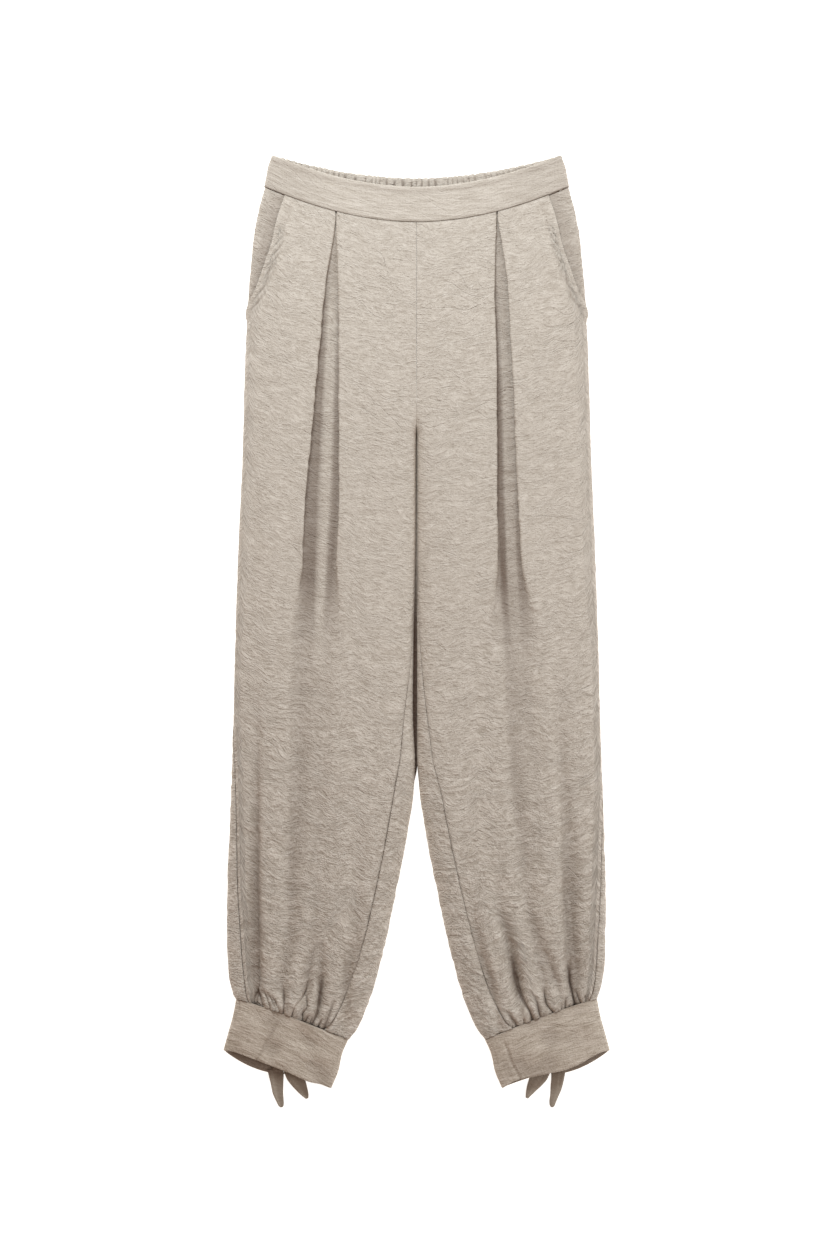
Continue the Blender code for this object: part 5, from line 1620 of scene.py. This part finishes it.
# Free ends of the ties: down, out, half width, height of the middle.
TIES = {
    Side.LEFT: {
        "long": ((1052.0, 162.8, 9.0, 2.8), (1060.0, 161.8, 8.2, 2.4), (1069.0, 161.0, 7.0, 1.2),
                 (1078.0, 160.2, 6.0, 0.9), (1089.0, 157.6, 4.0, 0.85), (1094.5, 156.2, 2.7, 0.85),
                 (1096.6, 155.8, 1.2, 0.85)),
        "short": ((1051.0, 144.0, 9.4, 2.8), (1059.0, 141.0, 9.6, 2.4), (1066.0, 137.4, 8.6, 1.2),
                  (1075.0, 132.4, 6.2, 0.9), (1083.0, 127.9, 3.2, 0.85), (1086.5, 126.3, 1.3, 0.85)),
    },
    Side.RIGHT: {
        "long": ((1052.0, 163.4, 8.4, 2.8), (1062.0, 162.8, 7.2, 2.2), (1074.0, 161.0, 6.2, 0.9),
                 (1084.0, 158.6, 4.4, 0.85), (1091.0, 156.8, 3.4, 0.85), (1095.0, 156.4, 2.4, 0.85),
                 (1096.6, 156.3, 1.0, 0.85)),
        "short": ((1051.0, 145.5, 9.4, 2.8), (1059.0, 142.0, 9.6, 2.4), (1066.0, 138.0, 8.4, 1.2),
                  (1075.0, 132.6, 5.6, 0.9), (1082.0, 129.0, 3.0, 0.85), (1086.0, 127.2, 1.3, 0.85)),
    },
}
TIE_THICK = 1.7
KNOT_AT = (1051.0, 158.5)          # down, out
KNOT_SIZE = (16.0, 11.0, 6.4)      # across, down, high
KNOT_LIFT = 0.2                    # off the paper
KNOT_PAINTED_SHADE = 0.55                   # painted shade over the knot, as it lies in the shade of the cuff
# The two grooves of its wraps: their axis, level along it, half width and depth as a share.
KNOT_GROOVES = (((0.75, 0.6, 0.2), 0.25, 0.12, 0.10), ((-0.5, 0.75, 0.35), -0.3, 0.12, 0.08))


def tie_strip(table: Points, side: Side, rows: int = 44, columns: int = 15) -> Cloth:
    """A tie's free end: a narrow strip with a folded edge and a crease down its length.

    The strip is centre(t) + q · half width(t) · across(t), with t along it and q from −1 to 1.
    Its relief is a rounded fold along one edge and a trough beside it.

    Args:
        table: Rows of down, out, half width and height.
        side: Which leg.
        rows: Rows along it.
        columns: Columns across it.

    Returns:
        The strip's cloth.
    """
    place = np.array(table)
    run = np.concatenate([[0], np.cumsum(np.hypot(*np.diff(place[:, :2], axis=0).T))])
    at = np.linspace(0, run[-1], rows)
    down, out, half, height = (smooth_curve(tuple(zip(run, place[:, k])), at)[:, None] for k in range(4))
    way_down, way_out = np.gradient(down[:, 0])[:, None], np.gradient(out[:, 0])[:, None]
    length = np.hypot(way_down, way_out)
    q = np.linspace(1, -1, columns)[None, :]
    across_out = out + q * half * way_down / length
    across_down = down - q * half * way_out / length
    height = np.broadcast_to(height, across_out.shape)
    middle = np.stack([side.value * across_out, TOP - across_down, height], axis=2)
    relief = 0.35 * bell((q - 0.72) / 0.2) - 0.3 * bell((q - 0.35) / 0.14) + 0.12 * np.sin(at / 5)[:, None]
    relief = np.maximum(relief, -0.15)
    # Painted shade under the cuff's hem at the tie's top, and over the strip's half away from its fold.
    shade = 0.45 * bell((at[:, None] - at[0]) / 9.0) + 0.25 * ease((0.4 - q) / 0.6)
    return Cloth(middle, side.value, relief, outside=TIE_THICK / 2 - 0.2, inside=0.6,
                 rounding=(0.2, 0.3, 0.4, 0.4), shade=shade)


def knot(side: Side, material: bpy.types.Material) -> bpy.types.Object:
    """The tie's flat knot: an egg r(a, b) with two grooves where the strips cross.

    The surface is the ellipsoid of the knot's size, pressed in by a bell along two crossing
    circles, so it reads as two wraps.

    Args:
        side: Which leg.
        material: Cloth of the ties.

    Returns:
        The object.
    """
    rings, around = 26, 44
    lat = np.linspace(-math.pi / 2, math.pi / 2, rings)[1:-1, None]
    lon = np.arange(around)[None, :] * 2 * math.pi / around
    unit = np.stack([np.cos(lat) * np.cos(lon), np.cos(lat) * np.sin(lon), np.sin(lat) + 0 * lon], axis=2)
    press = 1 - sum(depth * bell((unit @ np.array(axis) - at) / width)
                    for axis, at, width, depth in KNOT_GROOVES)
    body = (unit * press[..., None]).reshape(-1, 3)
    poles = np.array([[0, 0, -1.0], [0, 0, 1.0]])
    points = np.concatenate([body, poles]) * np.array(KNOT_SIZE) / 2
    points += np.array([side.value * KNOT_AT[1], TOP - KNOT_AT[0], KNOT_SIZE[2] / 2 + KNOT_LIFT])
    index = np.arange(len(body)).reshape(rings - 2, around)
    after = np.roll(index, -1, axis=1)
    quads = np.stack([index[:-1], after[:-1], after[1:], index[1:]], -1).reshape(-1, 4)
    low, high = len(body), len(body) + 1
    caps = [(int(a), low, int(b)) for a, b in zip(after[0], index[0])]
    caps += [(int(a), int(b), high) for a, b in zip(index[-1], after[-1])]
    flat = np.stack([points[:, 0] + points[:, 2], points[:, 1]], axis=1) * MM
    mesh = bpy.data.meshes.new("knot")
    mesh.from_pydata((points * MM).tolist(), [], quads.tolist() + caps)
    mesh.polygons.foreach_set("use_smooth", np.ones(len(mesh.polygons), bool))
    loops = np.empty(len(mesh.loops), int)
    mesh.loops.foreach_get("vertex_index", loops)
    layer = mesh.uv_layers.new(name="flat_cloth")
    layer.data.foreach_set("uv", flat[loops].ravel())
    word = side.name.lower()
    thing = bpy.data.objects.new(f"tie_knot_{word}_cloth", mesh)
    bpy.context.scene.collection.objects.link(thing)
    mesh.materials.append(material)
    # Painted shade over the whole knot.
    painted_shade = mesh.attributes.new("painted_shade", "FLOAT", "POINT")
    painted_shade.data.foreach_set("value", np.full(len(points), KNOT_PAINTED_SHADE))
    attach(thing, "root")
    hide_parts("tie_knot_" + word)
    LOG.info("tie_knot_%s: %d faces", word, len(mesh.polygons))
    return thing


@dataclass
class Studio:
    """White paper, soft light from the waist end and a camera straight above."""

    paper_size: float = 6.0
    frame_height: float = 1.4352          # metres that the picture's height takes in
    focal: float = 85.0
    centre: tuple[float, float] = (-0.0007, 0.0092)
    key_power: float = 31.0
    side_power: float = 12.5
    sky: float = 0.32
    key_colour: str = "#f0fbff"
    sky_colour: str = "#ffe3d2"
    film: float = 36.0                    # mm along the picture's height
    cloth_top: float = 0.012              # metres, level that the framing is worked out for
    paper_level: float = -0.0004          # metres
    # Soft boxes: name, width and height, and place, in metres.
    boxes: tuple[tuple[str, tuple, tuple], ...] = (
        ("key", (0.8, 0.6), (-0.30, 1.75, 1.3)),
        ("side", (1.0, 1.6), (1.6, -0.5, 1.2)),
    )

    def floor(self) -> None:
        """The paper, a large square just under the cloth."""
        half = self.paper_size / 2
        corners = ((-half, -half), (half, -half), (half, half), (-half, half))
        points = np.array([(x, y, self.paper_level) for x, y in corners])
        paper = mesh_object("paper", points, np.array([(0, 1, 2, 3)]), points[:, :2], np.zeros(4))
        paper.data.materials.append(MattPaper().make())

    def light(self, name: str, power: float, size: tuple[float, float],
              place: tuple[float, float, float]) -> None:
        """One soft box that looks at the middle of the trousers.

        Args:
            name: Its name.
            power: Watts.
            size: Width and height in metres.
            place: Where it stands.
        """
        lamp = bpy.data.lights.new(name, "AREA")
        lamp.shape = "RECTANGLE"
        lamp.size, lamp.size_y = size
        lamp.energy = power
        lamp.color = linear(self.key_colour)[:3]
        box = bpy.data.objects.new(name, lamp)
        box.location = place
        x, y, z = place
        box.rotation_euler = (math.atan2(math.hypot(x, y), z), 0, math.atan2(x, -y))
        bpy.context.scene.collection.objects.link(box)

    def camera(self) -> None:
        """Straight above the middle of the picture, as high as its frame and lens ask."""
        lens = bpy.data.cameras.new("camera")
        lens.lens = self.focal
        lens.sensor_width = self.film
        eye = bpy.data.objects.new("camera", lens)
        eye.location = (*self.centre, self.frame_height * self.focal / self.film + self.cloth_top)
        bpy.context.scene.collection.objects.link(eye)
        bpy.context.scene.camera = eye

    def build(self) -> None:
        """Sets up the paper, the lights, the sky and the camera."""
        self.floor()
        for (name, size, place), power in zip(self.boxes, (self.key_power, self.side_power)):
            self.light(name, power, size, place)
        world = bpy.data.worlds.new("soft_room")
        world.use_nodes = True
        background = world.node_tree.nodes["Background"]
        background.inputs["Color"].default_value = linear(self.sky_colour)
        background.inputs["Strength"].default_value = self.sky
        bpy.context.scene.world = world
        bpy.context.scene.view_settings.view_transform = "Standard"
        self.camera()


def main() -> None:
    """Builds the pieces in order."""
    logging.basicConfig(level=logging.INFO, format="%(name)s: %(message)s")
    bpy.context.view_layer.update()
    leg_cloth = CrinkledCrepe("crinkled_viscose_linen_crepe").make()
    band_cloth = CrinkledCrepe("pressed_crepe_band", wrinkle_length=26.0, wrinkle_spacing=2.8,
                               wrinkle_depth=1.5, swirl=6.0, lean=0.2).make()
    # The cuff's crepe is painted a little darker than the legs', as painted shade at the lower end.
    cuff_cloth = CrinkledCrepe("pressed_crepe_cuff_painted_shade", crest="#e4d9cc", trough="#bcaf9f",
                               wrinkle_length=22.0, wrinkle_spacing=2.8, wrinkle_depth=1.8,
                               swirl=9.0, lean=0.3, contrast=1.4).make()
    # The ties' crepe is painted darker than the legs', as painted shade under the cuff.
    tie_cloth = CrinkledCrepe("folded_crepe_tie_painted_shade", crest="#c2b6a8", trough="#9d9182",
                              wrinkle_depth=0.8, contrast=0.5).make()
    Waistband().build(band_cloth, leg_cloth)
    for side in Side:
        LegPanels(side).build(leg_cloth)
        Cuff(side).build(cuff_cloth, tie_cloth)
    Studio().build()


if __name__ == "__main__":
    main()
